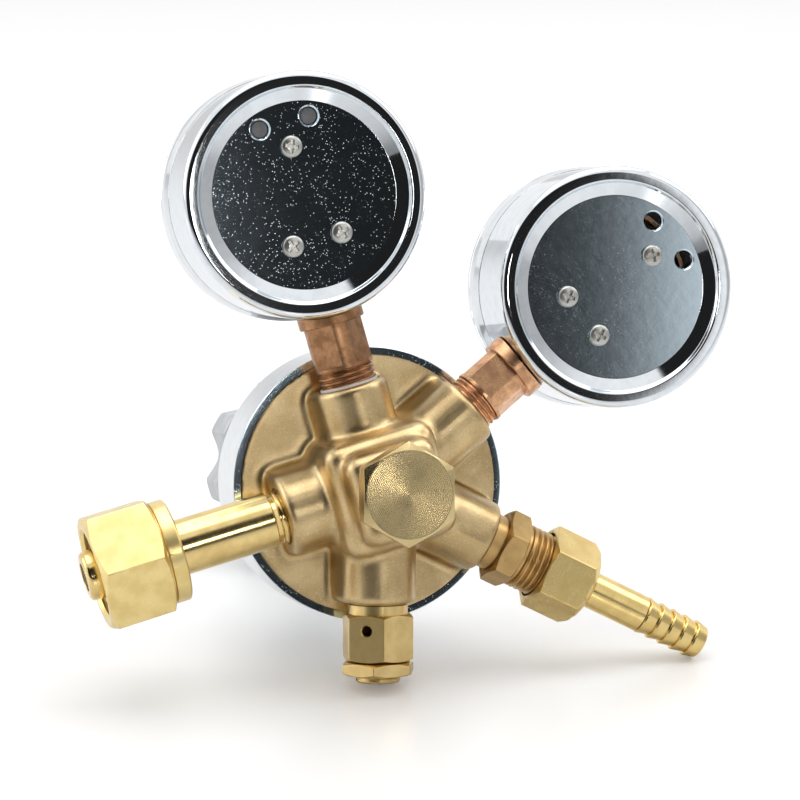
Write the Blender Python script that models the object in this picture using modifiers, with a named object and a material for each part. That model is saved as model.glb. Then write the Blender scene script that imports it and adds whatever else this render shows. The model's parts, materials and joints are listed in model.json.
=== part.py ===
"""Nitrogen pressure regulator with two gauges, a hose outlet and a relief valve.

It stands on its relief valve, its hose tail and its knob, as on a bench. Sizes are in metres.
The regulating axis runs through the plug, the body, the bonnet and the knob. Places along it are
measured from the plane that holds the five ports, and they grow towards the knob.
"""

import math

import bmesh
import bpy
from mathutils import Matrix, Vector

GAP = 0.0003
WELD = 0.00001
CHAMFER = 0.0010
EDGE_BREAK = 0.0006
THREAD_RELIEF = 0.0020

# Brass forging
FLANGE_RADIUS = 0.0320
FLANGE_REAR = 0.0090
FLANGE_FRONT = 0.0172
DIAPHRAGM_SEAT = 0.0085
CHAMBER_RADIUS = FLANGE_RADIUS - DIAPHRAGM_SEAT
CHAMBER_DEPTH = 0.0047
CORE_SIDE = 0.0280
CORE_BACK = -0.0165
CORE_ROUND = 0.0040
PAD_SIDE = 0.0223
PAD_BACK = -0.0245
PAD_ROUND = 0.0035
FORGING_TURN = 16.0
BOSS_DRAFT = 0.0006
BOSS_EDGE = 0.0012
PASSAGE_RADIUS = 0.0015

# Ports, as angles seen from the plug's side, from the right and counter-clockwise
INLET_ANGLE = 196.0
INLET_GAUGE_ANGLE = 106.0
OUTLET_GAUGE_ANGLE = 40.1
OUTLET_ANGLE = -26.0
RELIEF_ANGLE = -90.0
PORT_BOTTOM = 0.0140

INLET_BOSS_RADIUS = 0.0102
INLET_BOSS_END = 0.0250
INLET_GAUGE_BOSS_RADIUS = 0.0091
INLET_GAUGE_BOSS_END = 0.0260
OUTLET_GAUGE_BOSS_RADIUS = 0.0090
OUTLET_GAUGE_BOSS_END = 0.0300
OUTLET_BOSS_RADIUS = 0.0090
OUTLET_BOSS_END = 0.0304
RELIEF_BOSS_RADIUS = 0.0093
RELIEF_BOSS_END = 0.0285

# Seat plug and the valve behind it
PLUG_FLATS = 0.0218
PLUG_HEAD = 0.0060
PLUG_THREAD_RADIUS = 0.0085
PLUG_SHANK = 0.0120
PLUG_POCKET_RADIUS = 0.0042
PLUG_POCKET_DEPTH = 0.0080
GASKET_THICKNESS = 0.0010
HIGH_CHAMBER_RADIUS = 0.0070
HIGH_CHAMBER_FRONT = -0.0060
NOZZLE_RADIUS = 0.0045
NOZZLE_BACK = -0.0030
NOZZLE_LENGTH = 0.0090
ORIFICE_RADIUS = 0.0015
NOZZLE_LIP = 0.0008
NOZZLE_TAPER = 0.0012
POPPET_RADIUS = 0.0036
POPPET_LENGTH = 0.0090
POPPET_PIN_RADIUS = 0.0008
SEAT_DISC_RADIUS = 0.0028
SEAT_DISC_THICKNESS = 0.0015
POPPET_WIRE = 0.00035
POPPET_SPRING_RADIUS = 0.0027
POPPET_SPRING_TURNS = 5

# Diaphragm and regulating spring
DIAPHRAGM_THICKNESS = 0.0008
DIAPHRAGM_WAVE = 0.0012
WAVE_MARGIN = 0.0015
PLATE_RADIUS = 0.0125
PLATE_THICKNESS = 0.0022
PLATE_PILOT_RADIUS = 0.0070
SLIP_RING_CLEARANCE = 0.0010
SLIP_RING_INNER = CHAMBER_RADIUS + SLIP_RING_CLEARANCE
SLIP_RING_THICKNESS = 0.0010
SPRING_RADIUS = 0.0090
SPRING_WIRE = 0.00125
SPRING_TURNS = 6
SPRING_LENGTH = 0.0245
PILOT_HEIGHT = 0.0025
BUTTON_RADIUS = 0.0115
BUTTON_THICKNESS = 0.0040

# Bonnet
BONNET_LIP = 0.0020
BONNET_RADIUS = FLANGE_RADIUS + BONNET_LIP
BONNET_REAR = 0.0100
BONNET_SHOULDER = 0.0300
BONNET_SHOULDER_ROUND = 0.0060
BONNET_NECK_RADIUS = 0.0125
BONNET_NECK = 0.0525
BONNET_NOSE = 0.0620
BONNET_WALL = 0.0030
BONNET_VENT_RADIUS = 0.0015
BONNET_FOOT_BLEND = 0.0022

# Adjusting screw and knob
SCREW_RADIUS = 0.0059
SCREW_FRONT = 0.0980
KNOB_RADIUS = 0.0244
KNOB_VALLEY = 0.0208
KNOB_LOBES = 8
KNOB_LOBE_WIDTH = 15.0
KNOB_PHASE = 151.2
KNOB_REAR = 0.0845
KNOB_THICKNESS = 0.0185
KNOB_EDGE = 0.0012
KNOB_HUB_RADIUS = 0.0090
KNOB_HUB_REAR = 0.0780
KNOB_CAP_RADIUS = 0.0080
KNOB_CAP_THICKNESS = 0.0025
GRUB_RADIUS = 0.0017
GRUB_PLACE = 0.0810

# Inlet stem and nut, as distances from the regulating axis
STEM_RADIUS = 0.0068
STEM_THREAD_RADIUS = 0.0066
STEM_BORE_RADIUS = 0.0020
STEM_SHOULDER_RADIUS = 0.0093
STEM_SHOULDER = 0.0620
STEM_SHOULDER_WIDTH = 0.0040
STEM_NOSE_RADIUS = 0.0060
STEM_NOSE_ROUND = 0.0030
STEM_END = 0.0755
INLET_NUT_FLATS = 0.0270
INLET_NUT_REAR = 0.0519
INLET_NUT_COLLAR = 0.0042
INLET_NUT_COLLAR_RADIUS = 0.0126
INLET_NUT_GROOVE = 0.0012
INLET_NUT_END = 0.0726
INLET_NUT_THREAD_RADIUS = 0.0106
INLET_NUT_TURN = 3.0
FILTER_RADIUS = 0.0032
FILTER_LENGTH = 0.0070

# Outlet adapter, union nut and hose tail
OUTLET_THREAD_RADIUS = 0.0070
OUTLET_NECK_RADIUS = 0.0075
OUTLET_FLATS = 0.0168
OUTLET_TURN = 40.0
OUTLET_HEX_START = 0.0333
OUTLET_HEX_END = 0.0390
UNION_THREAD_RADIUS = 0.0081
UNION_THREAD_END = 0.0490
UNION_FLATS = 0.0190
UNION_START = 0.0455
UNION_END = 0.0590
UNION_ROUND = 0.0028
UNION_TURN = 35.0
TAIL_NOSE_RADIUS = 0.0065
TAIL_NOSE = 0.0044
TAIL_RADIUS = 0.0046
TAIL_BORE_RADIUS = 0.0026
BARB_START = 0.0755
BARB_RADIUS = 0.0048
BARB_ROOT_RADIUS = 0.0041
BARB_PITCH = 0.00346
BARB_CREST = 0.0003
BARBS = 5

# Relief valve
RELIEF_THREAD_RADIUS = 0.0070
RELIEF_NECK_RADIUS = 0.0073
RELIEF_FLATS = 0.0160
RELIEF_HEX_START = 0.0311
RELIEF_HEX_END = 0.0426
RELIEF_TURN = 4.0
RELIEF_VENT_RADIUS = 0.0013
RELIEF_VENT_PLACE = 0.0348
RELIEF_VENT_TURN = 30.0 + RELIEF_TURN
RELIEF_BORE_RADIUS = 0.0057
RELIEF_SEAT = 0.0210
RELIEF_ORIFICE_RADIUS = 0.0020
RELIEF_POPPET_LENGTH = 0.0050
RELIEF_GUIDE_LENGTH = 0.0025
RELIEF_WIRE = 0.0004
RELIEF_SPRING_RADIUS = 0.0032
RELIEF_SPRING_TURNS = 5
LOCKNUT_FLATS = 0.0165
LOCKNUT_TURN = 20.0
LOCKNUT_THICKNESS = 0.0032
ADJUSTER_LENGTH = 0.0095
ADJUSTER_END = 0.0480
ADJUSTER_POCKET_RADIUS = 0.0040
ADJUSTER_POCKET_DEPTH = 0.0050
ADJUSTER_SLOT = 0.0010

# Gauges, alike: distances from the port plane grow towards the dial
CASE_RADIUS = 0.0297
INLET_GAUGE_THREAD_END = 0.0302
INLET_GAUGE_COLLAR = 0.0416
INLET_GAUGE_FLATS_TURN = 45.0
OUTLET_GAUGE_THREAD_END = 0.0330
OUTLET_GAUGE_COLLAR = 0.0430
OUTLET_GAUGE_FLATS_TURN = 63.0
INLET_COLLAR_HEIGHT = 0.0022
OUTLET_COLLAR_HEIGHT = 0.00295
INLET_GAUGE_DISTANCE = INLET_GAUGE_COLLAR + INLET_COLLAR_HEIGHT + CASE_RADIUS
OUTLET_GAUGE_DISTANCE = OUTLET_GAUGE_COLLAR + OUTLET_COLLAR_HEIGHT + CASE_RADIUS
SOCKET_THREAD_RADIUS = 0.00695
SOCKET_RADIUS = 0.00715
SOCKET_FLATS = 0.0123
SOCKET_BAND = 0.0012
SOCKET_COLLAR_RADIUS = 0.0081
SOCKET_SHANK_RADIUS = 0.0045
CASE_REAR = -0.0114
CASE_FRONT = 0.0160
CASE_WALL = 0.0010
CASE_STEP = 0.0095
CASE_STEP_DEPTH = 0.0005
CREST_RADIUS = CASE_RADIUS - 0.0019
RECESS_OUTER = CASE_RADIUS - 0.0035
RECESS_INNER = CASE_RADIUS - 0.0070
RECESS_FLOOR = -0.0093
RECESS_FOOT = -0.0099
BEZEL_RADIUS = CASE_RADIUS + 0.0007
BEZEL_FRONT = 0.0186
BEZEL_LIP_RADIUS = CASE_RADIUS - 0.0019
BEZEL_LIP = 0.0008
WINDOW_THICKNESS = 0.0014
DIAL_RADIUS = CASE_RADIUS - 0.0022
DIAL_BACK = 0.0104
DIAL_THICKNESS = 0.0006
POST_SCREW_HEIGHT = CASE_RADIUS * 0.404
BLOCK_SCREW_DEPTH = CASE_RADIUS * 0.370
BLOCK_SCREW_SIDE = CASE_RADIUS * 0.209
BACK_SCREWS = (
    (0.0, POST_SCREW_HEIGHT),
    (-BLOCK_SCREW_SIDE, -BLOCK_SCREW_DEPTH),
    (BLOCK_SCREW_SIDE, -BLOCK_SCREW_DEPTH),
)
BACK_SCREW_HEAD = 0.0026
BACK_SCREW_THREAD = 0.0013
BACK_SCREW_HEAD_HEIGHT = 0.0014
BACK_SCREW_LENGTH = 0.0045
CASE_VENT_HEIGHT = CASE_RADIUS * 0.603
CASE_VENTS = ((-BLOCK_SCREW_SIDE, CASE_VENT_HEIGHT), (BLOCK_SCREW_SIDE, CASE_VENT_HEIGHT))
CASE_VENT_RADIUS = 0.0022
BLOCK_WIDTH = CASE_RADIUS * 0.572
BLOCK_LOW = -CASE_RADIUS * 0.572
BLOCK_HIGH = -CASE_RADIUS * 0.269
BLOCK_FRONT = 0.0045
TUBE_RADIUS = CASE_RADIUS * 0.673
TUBE_THICKNESS = 0.0018
TUBE_WIDTH = 0.0060
TUBE_START = 234.0
TUBE_SWEEP = 247.0
TUBE_STEPS = 20

# Gauge movement
GEAR_MODULE = 0.0004
PINION_TEETH = 8
SECTOR_TEETH = 64
GEAR_BACK = 0.0064
GEAR_THICKNESS = 0.0012
PIVOT_ANGLE = -70.0
ARBOR_RADIUS = 0.0008
PLATE_SHEET = 0.0008
PLATE_MARGIN = 0.0035
PLATE_REACH = 0.0045
PILLAR_RADIUS = 0.0009
PILLAR_INSET = 0.0014
POST_RADIUS = 0.0024
REAR_PLATE = 0.0048
TAIL_ARM = 0.0070
TAIL_ARM_ANGLE = 10.0
LINK_WIDTH = 0.0016
LINK_THICKNESS = 0.0007
LINK_PIN_RADIUS = 0.0005
POINTER_PLACE = 0.0122
POINTER_THICKNESS = 0.0005
POINTER_LENGTH = CASE_RADIUS * 0.657
POINTER_TAIL = 0.0070
POINTER_HALF_WIDTH = 0.0010
POINTER_TIP_HALF_WIDTH = 0.0002
POINTER_BOSS_RADIUS = 0.0024
POINTER_ZERO = 225.0

# Finishes: colour, roughness, metallic
FORGED_BRASS = ((0.70, 0.52, 0.29), 0.42, 1.0)
TURNED_BRASS = ((0.80, 0.62, 0.30), 0.25, 1.0)
COPPER_BRASS = ((0.72, 0.47, 0.29), 0.30, 1.0)
CHROMED = ((0.86, 0.88, 0.91), 0.10, 1.0)
STEEL = ((0.60, 0.60, 0.61), 0.30, 1.0)
COPPER = ((0.75, 0.42, 0.27), 0.35, 1.0)
BLACK_RUBBER = ((0.03, 0.03, 0.03), 0.80, 0.0)
SEAT_PLASTIC = ((0.86, 0.84, 0.78), 0.50, 0.0)
GREY_ALLOY = ((0.62, 0.63, 0.64), 0.38, 1.0)
CLEAR = ((0.92, 0.94, 0.95), 0.05, 0.0)
WHITE_ENAMEL = ((0.90, 0.90, 0.88), 0.40, 0.0)
BLACK_ENAMEL = ((0.03, 0.03, 0.03), 0.40, 0.0)
SINTERED = ((0.55, 0.44, 0.30), 0.90, 1.0)

LARGE_ROUND = 28
HEXAGON_ROUND = 24
MIDDLE_ROUND = 16
SMALL_ROUND = 10
HOLE_ROUND = 12
COIL_STEPS = 10


def clear_scene():
    for old in list(bpy.data.objects):
        bpy.data.objects.remove(old)


def new_collection(name):
    made = bpy.data.collections.new(name)
    bpy.context.scene.collection.children.link(made)
    return made


def material(name, finish):
    colour, roughness, metallic = finish
    made = bpy.data.materials.new(name)
    made.use_nodes = True
    shader = made.node_tree.nodes["Principled BSDF"]
    shader.inputs["Base Color"].default_value = (*colour, 1.0)
    shader.inputs["Roughness"].default_value = roughness
    shader.inputs["Metallic"].default_value = metallic
    return made


def empty(name, parent=None, at=(0, 0, 0), turn=(0, 0, 0)):
    made = bpy.data.objects.new(name, None)
    made.parent = parent
    made.location = at
    made.rotation_euler = turn
    parts.objects.link(made)
    return made


def add_part(name, mesh, finish, parent):
    mesh.materials.append(material(name, finish))
    made = bpy.data.objects.new(name, mesh)
    made.parent = parent
    parts.objects.link(made)
    return made


def add_tool(name, mesh, parent):
    """A helper body that cuts, joins or trims a part."""
    made = bpy.data.objects.new(name, mesh)
    made.parent = parent
    made.hide_render = True
    made.display_type = "WIRE"
    tools.objects.link(made)
    return made


def combine(part, tool, operation):
    made = part.modifiers.new(tool.name, "BOOLEAN")
    made.operation = operation
    made.object = tool
    made.solver = "EXACT"


def cut(part, *cutters):
    for cutter in cutters:
        combine(part, cutter, "DIFFERENCE")


def join(part, *others):
    for other in others:
        combine(part, other, "UNION")


def arc(centre, radius, start, end, steps):
    """Points of an arc, in degrees."""
    made = []
    for step in range(steps + 1):
        angle = math.radians(start + (end - start) * step / steps)
        made.append((centre[0] + radius * math.cos(angle), centre[1] + radius * math.sin(angle)))
    return made


def polar(points):
    """Flat points from radii and angles in degrees."""
    return [(r * math.cos(math.radians(a)), r * math.sin(math.radians(a))) for r, a in points]


def spun(obj, steps):
    screw = obj.modifiers.new("Turned", "SCREW")
    screw.axis = "Z"
    screw.angle = math.tau
    screw.steps = steps
    screw.render_steps = steps
    screw.use_merge_vertices = True
    screw.merge_threshold = WELD
    return obj


def profile(name, points):
    """A half section as (radius, height) points: closed by the axis, or a loop clear of it."""
    area = sum(a[0] * b[1] - b[0] * a[1] for a, b in zip(points, points[1:] + points[:1]))
    ordered = list(reversed(points)) if area > 0 else list(points)
    on_axis = [index for index, point in enumerate(ordered) if point[0] == 0]
    if on_axis:
        while not (ordered[0][0] == 0 and ordered[-1][0] == 0):
            ordered = ordered[1:] + ordered[:1]
    edges = [(index, index + 1) for index in range(len(ordered) - 1)]
    if not on_axis:
        edges.append((len(ordered) - 1, 0))
    mesh = bpy.data.meshes.new(name)
    mesh.from_pydata([(radius, 0, height) for radius, height in ordered], edges, [])
    return mesh


def turned(name, points, finish, parent, steps=MIDDLE_ROUND):
    return spun(add_part(name, profile(name, points), finish, parent), steps)


def turned_tool(name, points, parent, steps=MIDDLE_ROUND):
    return spun(add_tool(name, profile(name, points), parent), steps)


def mesh_from(name, bm):
    bmesh.ops.recalc_face_normals(bm, faces=bm.faces)
    mesh = bpy.data.meshes.new(name)
    bm.to_mesh(mesh)
    bm.free()
    return mesh


def rod(name, parent, start, end, radius, steps=SMALL_ROUND):
    """A round tool between two points of its parent's frame."""
    start = Vector(start)
    along = Vector(end) - start
    bm = bmesh.new()
    bmesh.ops.create_cone(
        bm, cap_ends=True, segments=steps, radius1=radius, radius2=radius, depth=along.length
    )
    made = add_tool(name, mesh_from(name, bm), parent)
    made.location = start + along / 2
    made.rotation_euler = along.to_track_quat("Z", "Y").to_euler()
    return made


def prism(name, parent, sides, flats, low, high, twist=0.0):
    """A straight prism about the local Z axis with a flat facing the given way."""
    bm = bmesh.new()
    corner = flats / 2 / math.cos(math.pi / sides)
    bmesh.ops.create_cone(
        bm, cap_ends=True, segments=sides, radius1=corner, radius2=corner, depth=high - low
    )
    made = add_tool(name, mesh_from(name, bm), parent)
    made.location.z = (low + high) / 2
    made.rotation_euler.z = math.radians(twist)
    return made


def box(name, parent, low, high):
    """A box tool between two corners."""
    bm = bmesh.new()
    bmesh.ops.create_cube(bm, size=1)
    low = Vector(low)
    high = Vector(high)
    bmesh.ops.scale(bm, vec=high - low, verts=bm.verts)
    bmesh.ops.translate(bm, vec=(low + high) / 2, verts=bm.verts)
    return add_tool(name, mesh_from(name, bm), parent)


def plate_mesh(name, outline, low, high, edge=0.0, top_edge_only=True):
    """An outline drawn in the XY plane, given a thickness and a chamfered or rounded rim."""
    bm = bmesh.new()
    face = bm.faces.new([bm.verts.new((x, y, low)) for x, y in outline])
    made = bmesh.ops.extrude_face_region(bm, geom=[face])
    top = [item for item in made["geom"] if isinstance(item, bmesh.types.BMVert)]
    bmesh.ops.translate(bm, vec=(0, 0, high - low), verts=top)
    if edge:
        rim = [item for item in made["geom"] if isinstance(item, bmesh.types.BMEdge)]
        if not top_edge_only:
            rim += list(face.edges)
        bmesh.ops.bevel(bm, geom=rim, offset=edge, segments=1, affect="EDGES")
    return mesh_from(name, bm)


def rounded_block(name, parent, side, low, high, edge, twist):
    """A square forging block with soft edges."""
    bm = bmesh.new()
    bmesh.ops.create_cube(bm, size=1)
    bmesh.ops.scale(bm, vec=(side, side, high - low), verts=bm.verts)
    bmesh.ops.bevel(bm, geom=list(bm.edges), offset=edge, segments=2, profile=0.5, affect="EDGES")
    made = add_tool(name, mesh_from(name, bm), parent)
    made.location.z = (low + high) / 2
    made.rotation_euler.z = math.radians(twist)
    return made


def coil(name, finish, parent, radius, wire, turns, low, high, roundness=0):
    """A compression spring whose first and last turns are closed."""
    closed = wire * 2.1
    free = (high - low - wire * 2 - closed * 2) / (turns - 2)
    steps = turns * COIL_STEPS
    curve = bpy.data.curves.new(name, "CURVE")
    curve.dimensions = "3D"
    curve.bevel_depth = wire
    curve.bevel_resolution = roundness
    curve.use_fill_caps = True
    spline = curve.splines.new("POLY")
    spline.points.add(steps)
    for index, point in enumerate(spline.points):
        turn = turns * index / steps
        rise = closed * (min(turn, 1) + max(turn - turns + 1, 0)) + free * min(max(turn - 1, 0), turns - 2)
        angle = math.tau * turn
        point.co = (radius * math.cos(angle), radius * math.sin(angle), low + wire + rise, 1)
    curve.materials.append(material(name, finish))
    made = bpy.data.objects.new(name, curve)
    made.parent = parent
    parts.objects.link(made)
    return made


def chamfered_hex(low, high, flats):
    """The turned envelope of a hexagon whose corners are chamfered at both ends."""
    corner = flats / math.sqrt(3)
    drop = (corner - flats / 2) * 0.58
    face = flats / 2 * 0.97
    return [(face, low), (corner + WELD, low + drop), (corner + WELD, high - drop), (face, high)]


def boss(name, port, radius, end):
    """A forged boss: half round towards the plug, with drafted sides down to the flange."""
    foot = FLANGE_REAR + BOSS_DRAFT
    outline = arc((0, 0), radius, 180, 360, 9)
    outline += [(radius + BOSS_DRAFT, foot), (-radius - BOSS_DRAFT, foot)]
    return add_tool(name, plate_mesh(name, outline, CORE_SIDE / 4, end, BOSS_EDGE), port)


def high_pressure_passage(port, name):
    """A slanted hole from the bottom of a port to the chamber in front of the plug."""
    chamber = (0, HIGH_CHAMBER_FRONT - PASSAGE_RADIUS * 2, HIGH_CHAMBER_RADIUS * 0.7)
    return rod(name, port, (0, 0, PORT_BOTTOM + PASSAGE_RADIUS), chamber, PASSAGE_RADIUS)


def low_pressure_passage(port, name):
    """A hole from the chamber under the diaphragm straight down into a port."""
    place = CHAMBER_RADIUS - PASSAGE_RADIUS * 3
    return rod(name, port, (0, 0, place), (0, FLANGE_FRONT, place), PASSAGE_RADIUS)


def forging():
    floor = FLANGE_FRONT - CHAMBER_DEPTH
    edge = BOSS_DRAFT
    points = [
        (0, FLANGE_REAR),
        (FLANGE_RADIUS - edge, FLANGE_REAR),
        (FLANGE_RADIUS, FLANGE_REAR + edge),
        (FLANGE_RADIUS, FLANGE_FRONT),
        (CHAMBER_RADIUS, FLANGE_FRONT),
        (CHAMBER_RADIUS, floor),
        (0, floor),
    ]
    body = turned("body", points, FORGED_BRASS, axis, LARGE_ROUND)
    core = rounded_block(
        "core", axis, CORE_SIDE, CORE_BACK, FLANGE_REAR + CORE_ROUND / 2, CORE_ROUND, -FORGING_TURN
    )
    # The block's soft front edges stay under the flange's rear face
    pad = rounded_block("pad", axis, PAD_SIDE, PAD_BACK, 0, PAD_ROUND, -FORGING_TURN)
    join(body, core, pad)
    gauge_thread = SOCKET_THREAD_RADIUS
    ports = (
        ("inlet", inlet, INLET_BOSS_RADIUS, INLET_BOSS_END, STEM_THREAD_RADIUS, True),
        ("inlet_gauge", inlet_gauge, INLET_GAUGE_BOSS_RADIUS, INLET_GAUGE_BOSS_END, gauge_thread, True),
        ("outlet_gauge", outlet_gauge, OUTLET_GAUGE_BOSS_RADIUS, OUTLET_GAUGE_BOSS_END, gauge_thread, False),
        ("outlet", outlet, OUTLET_BOSS_RADIUS, OUTLET_BOSS_END, OUTLET_THREAD_RADIUS, False),
        ("relief", relief, RELIEF_BOSS_RADIUS, RELIEF_BOSS_END, RELIEF_THREAD_RADIUS, False),
    )
    for name, port, radius, end, thread, high in ports:
        join(body, boss(name + "_boss", port, radius, end))
    for name, port, radius, end, thread, high in ports:
        bottom = (0, 0, PORT_BOTTOM)
        mouth = (0, 0, end + GAP)
        cut(body, rod(name + "_hole", port, bottom, mouth, thread + GAP, MIDDLE_ROUND))
        if high:
            cut(body, high_pressure_passage(port, name + "_passage"))
        else:
            cut(body, low_pressure_passage(port, name + "_passage"))
    shank_end = PAD_BACK + PLUG_SHANK + GAP
    bore = [
        (0, PAD_BACK - GAP),
        (PLUG_THREAD_RADIUS + GAP, PAD_BACK - GAP),
        (PLUG_THREAD_RADIUS + GAP, shank_end),
        (HIGH_CHAMBER_RADIUS, shank_end),
        (HIGH_CHAMBER_RADIUS, HIGH_CHAMBER_FRONT),
        (NOZZLE_RADIUS + GAP, HIGH_CHAMBER_FRONT),
        (NOZZLE_RADIUS + GAP, NOZZLE_BACK + NOZZLE_LENGTH + GAP),
        (ORIFICE_RADIUS * 1.4, NOZZLE_BACK + NOZZLE_LENGTH + GAP),
        (ORIFICE_RADIUS * 1.4, FLANGE_FRONT),
        (0, FLANGE_FRONT),
    ]
    cut(body, turned_tool("valve_bore", bore, axis, HEXAGON_ROUND))


def seat_plug():
    seat = PAD_BACK - GAP * 2 - GASKET_THICKNESS
    pocket = PAD_BACK + PLUG_SHANK
    envelope = chamfered_hex(seat - PLUG_HEAD, seat, PLUG_FLATS)
    face_edge = PLUG_FLATS / 2 * 0.97
    points = [(0, seat - PLUG_HEAD), (face_edge, seat - PLUG_HEAD)] + envelope[1:3]
    points += [
        envelope[3],
        (PLUG_THREAD_RADIUS, seat),
        (PLUG_THREAD_RADIUS, pocket),
        (PLUG_POCKET_RADIUS, pocket),
        (PLUG_POCKET_RADIUS, pocket - PLUG_POCKET_DEPTH),
        (0, pocket - PLUG_POCKET_DEPTH),
    ]
    plug = turned("seat_plug", points, TURNED_BRASS, axis, HEXAGON_ROUND)
    trim = prism("plug_hexagon", axis, 6, PLUG_FLATS, seat - PLUG_HEAD - GAP, pocket + GAP)
    combine(plug, trim, "INTERSECT")
    back = seat + GAP
    front = back + GASKET_THICKNESS
    outer = PLUG_FLATS / 2 * 0.96
    inner = PLUG_THREAD_RADIUS + GAP
    ring = [(inner, back), (outer, back), (outer, front), (inner, front)]
    turned("plug_gasket", ring, COPPER, axis)


def valve():
    nozzle_end = NOZZLE_BACK + NOZZLE_LENGTH
    lip = ORIFICE_RADIUS + NOZZLE_LIP
    nozzle = [
        (ORIFICE_RADIUS, NOZZLE_BACK),
        (lip, NOZZLE_BACK),
        (NOZZLE_RADIUS, NOZZLE_BACK + NOZZLE_TAPER),
        (NOZZLE_RADIUS, nozzle_end),
        (ORIFICE_RADIUS, nozzle_end),
    ]
    turned("seat_nozzle", nozzle, TURNED_BRASS, axis)
    disc_front = NOZZLE_BACK - GAP
    disc_back = disc_front - SEAT_DISC_THICKNESS
    disc = [
        (POPPET_PIN_RADIUS + GAP, disc_back),
        (SEAT_DISC_RADIUS, disc_back),
        (SEAT_DISC_RADIUS, disc_front),
        (POPPET_PIN_RADIUS + GAP, disc_front),
    ]
    turned("seat_disc", disc, SEAT_PLASTIC, axis, SMALL_ROUND)
    pocket_floor = disc_back - GAP
    back = disc_front - POPPET_LENGTH
    stem_radius = POPPET_SPRING_RADIUS - POPPET_WIRE - GAP
    shoulder = back + POPPET_LENGTH * 0.45
    plate_back = diaphragm_back() - GAP
    poppet = [
        (0, back),
        (stem_radius, back),
        (stem_radius, shoulder),
        (POPPET_RADIUS, shoulder),
        (POPPET_RADIUS, disc_front - GAP),
        (SEAT_DISC_RADIUS + GAP, disc_front - GAP),
        (SEAT_DISC_RADIUS + GAP, pocket_floor),
        (POPPET_PIN_RADIUS, pocket_floor),
        (POPPET_PIN_RADIUS, plate_back),
        (0, plate_back),
    ]
    turned("poppet", poppet, STEEL, axis, SMALL_ROUND)
    low = PAD_BACK + PLUG_SHANK - PLUG_POCKET_DEPTH + GAP
    high = shoulder - GAP
    coil("poppet_spring", STEEL, axis, POPPET_SPRING_RADIUS, POPPET_WIRE, POPPET_SPRING_TURNS, low, high)


def diaphragm_back():
    return FLANGE_FRONT + GAP


def diaphragm_front():
    return diaphragm_back() + DIAPHRAGM_THICKNESS


def diaphragm():
    """A rubber disc with one rolled wave between its clamped rim and its plate."""
    rim = FLANGE_RADIUS - GAP
    wave_inner = PLATE_RADIUS + WAVE_MARGIN
    wave_outer = CHAMBER_RADIUS - WAVE_MARGIN
    back = diaphragm_back()
    front = diaphragm_front()
    steps = 4
    wave = []
    for step in range(steps + 1):
        share = step / steps
        radius = wave_inner + (wave_outer - wave_inner) * share
        wave.append((radius, DIAPHRAGM_WAVE * math.sin(math.pi * share) ** 2))
    lower = [(radius, back - dip) for radius, dip in wave]
    upper = [(radius, front - dip) for radius, dip in wave]
    points = [(0, back)] + lower + [(rim, back), (rim, front)] + upper[::-1] + [(0, front)]
    turned("diaphragm", points, BLACK_RUBBER, axis)
    ring_back = front + GAP
    ring_front = ring_back + SLIP_RING_THICKNESS
    inner = SLIP_RING_INNER
    ring = [(inner, ring_back), (rim, ring_back), (rim, ring_front), (inner, ring_front)]
    turned("slip_ring", ring, TURNED_BRASS, axis)


def spring_stack():
    """The diaphragm's plate, the regulating spring and the button that the screw presses."""
    plate_back = diaphragm_front() + GAP
    plate_front = plate_back + PLATE_THICKNESS
    pilot = SPRING_RADIUS - SPRING_WIRE - GAP * 2
    plate = [
        (0, plate_back),
        (PLATE_RADIUS, plate_back),
        (PLATE_RADIUS, plate_front),
        (pilot, plate_front),
        (pilot - CHAMFER, plate_front + PILOT_HEIGHT),
        (0, plate_front + PILOT_HEIGHT),
    ]
    turned("diaphragm_plate", plate, TURNED_BRASS, axis)
    spring_back = plate_front + GAP
    spring_front = spring_back + SPRING_LENGTH
    sizes = (SPRING_RADIUS, SPRING_WIRE, SPRING_TURNS, spring_back, spring_front)
    coil("regulating_spring", STEEL, axis, *sizes, roundness=1)
    button_back = spring_front + GAP
    button_front = button_back + BUTTON_THICKNESS
    button = [
        (0, button_back - PILOT_HEIGHT),
        (pilot - CHAMFER, button_back - PILOT_HEIGHT),
        (pilot, button_back),
        (BUTTON_RADIUS, button_back),
        (BUTTON_RADIUS, button_front - CHAMFER),
        (BUTTON_RADIUS - CHAMFER, button_front),
        (0, button_front),
    ]
    turned("spring_button", button, STEEL, screw_axis)
    return button_front


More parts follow.
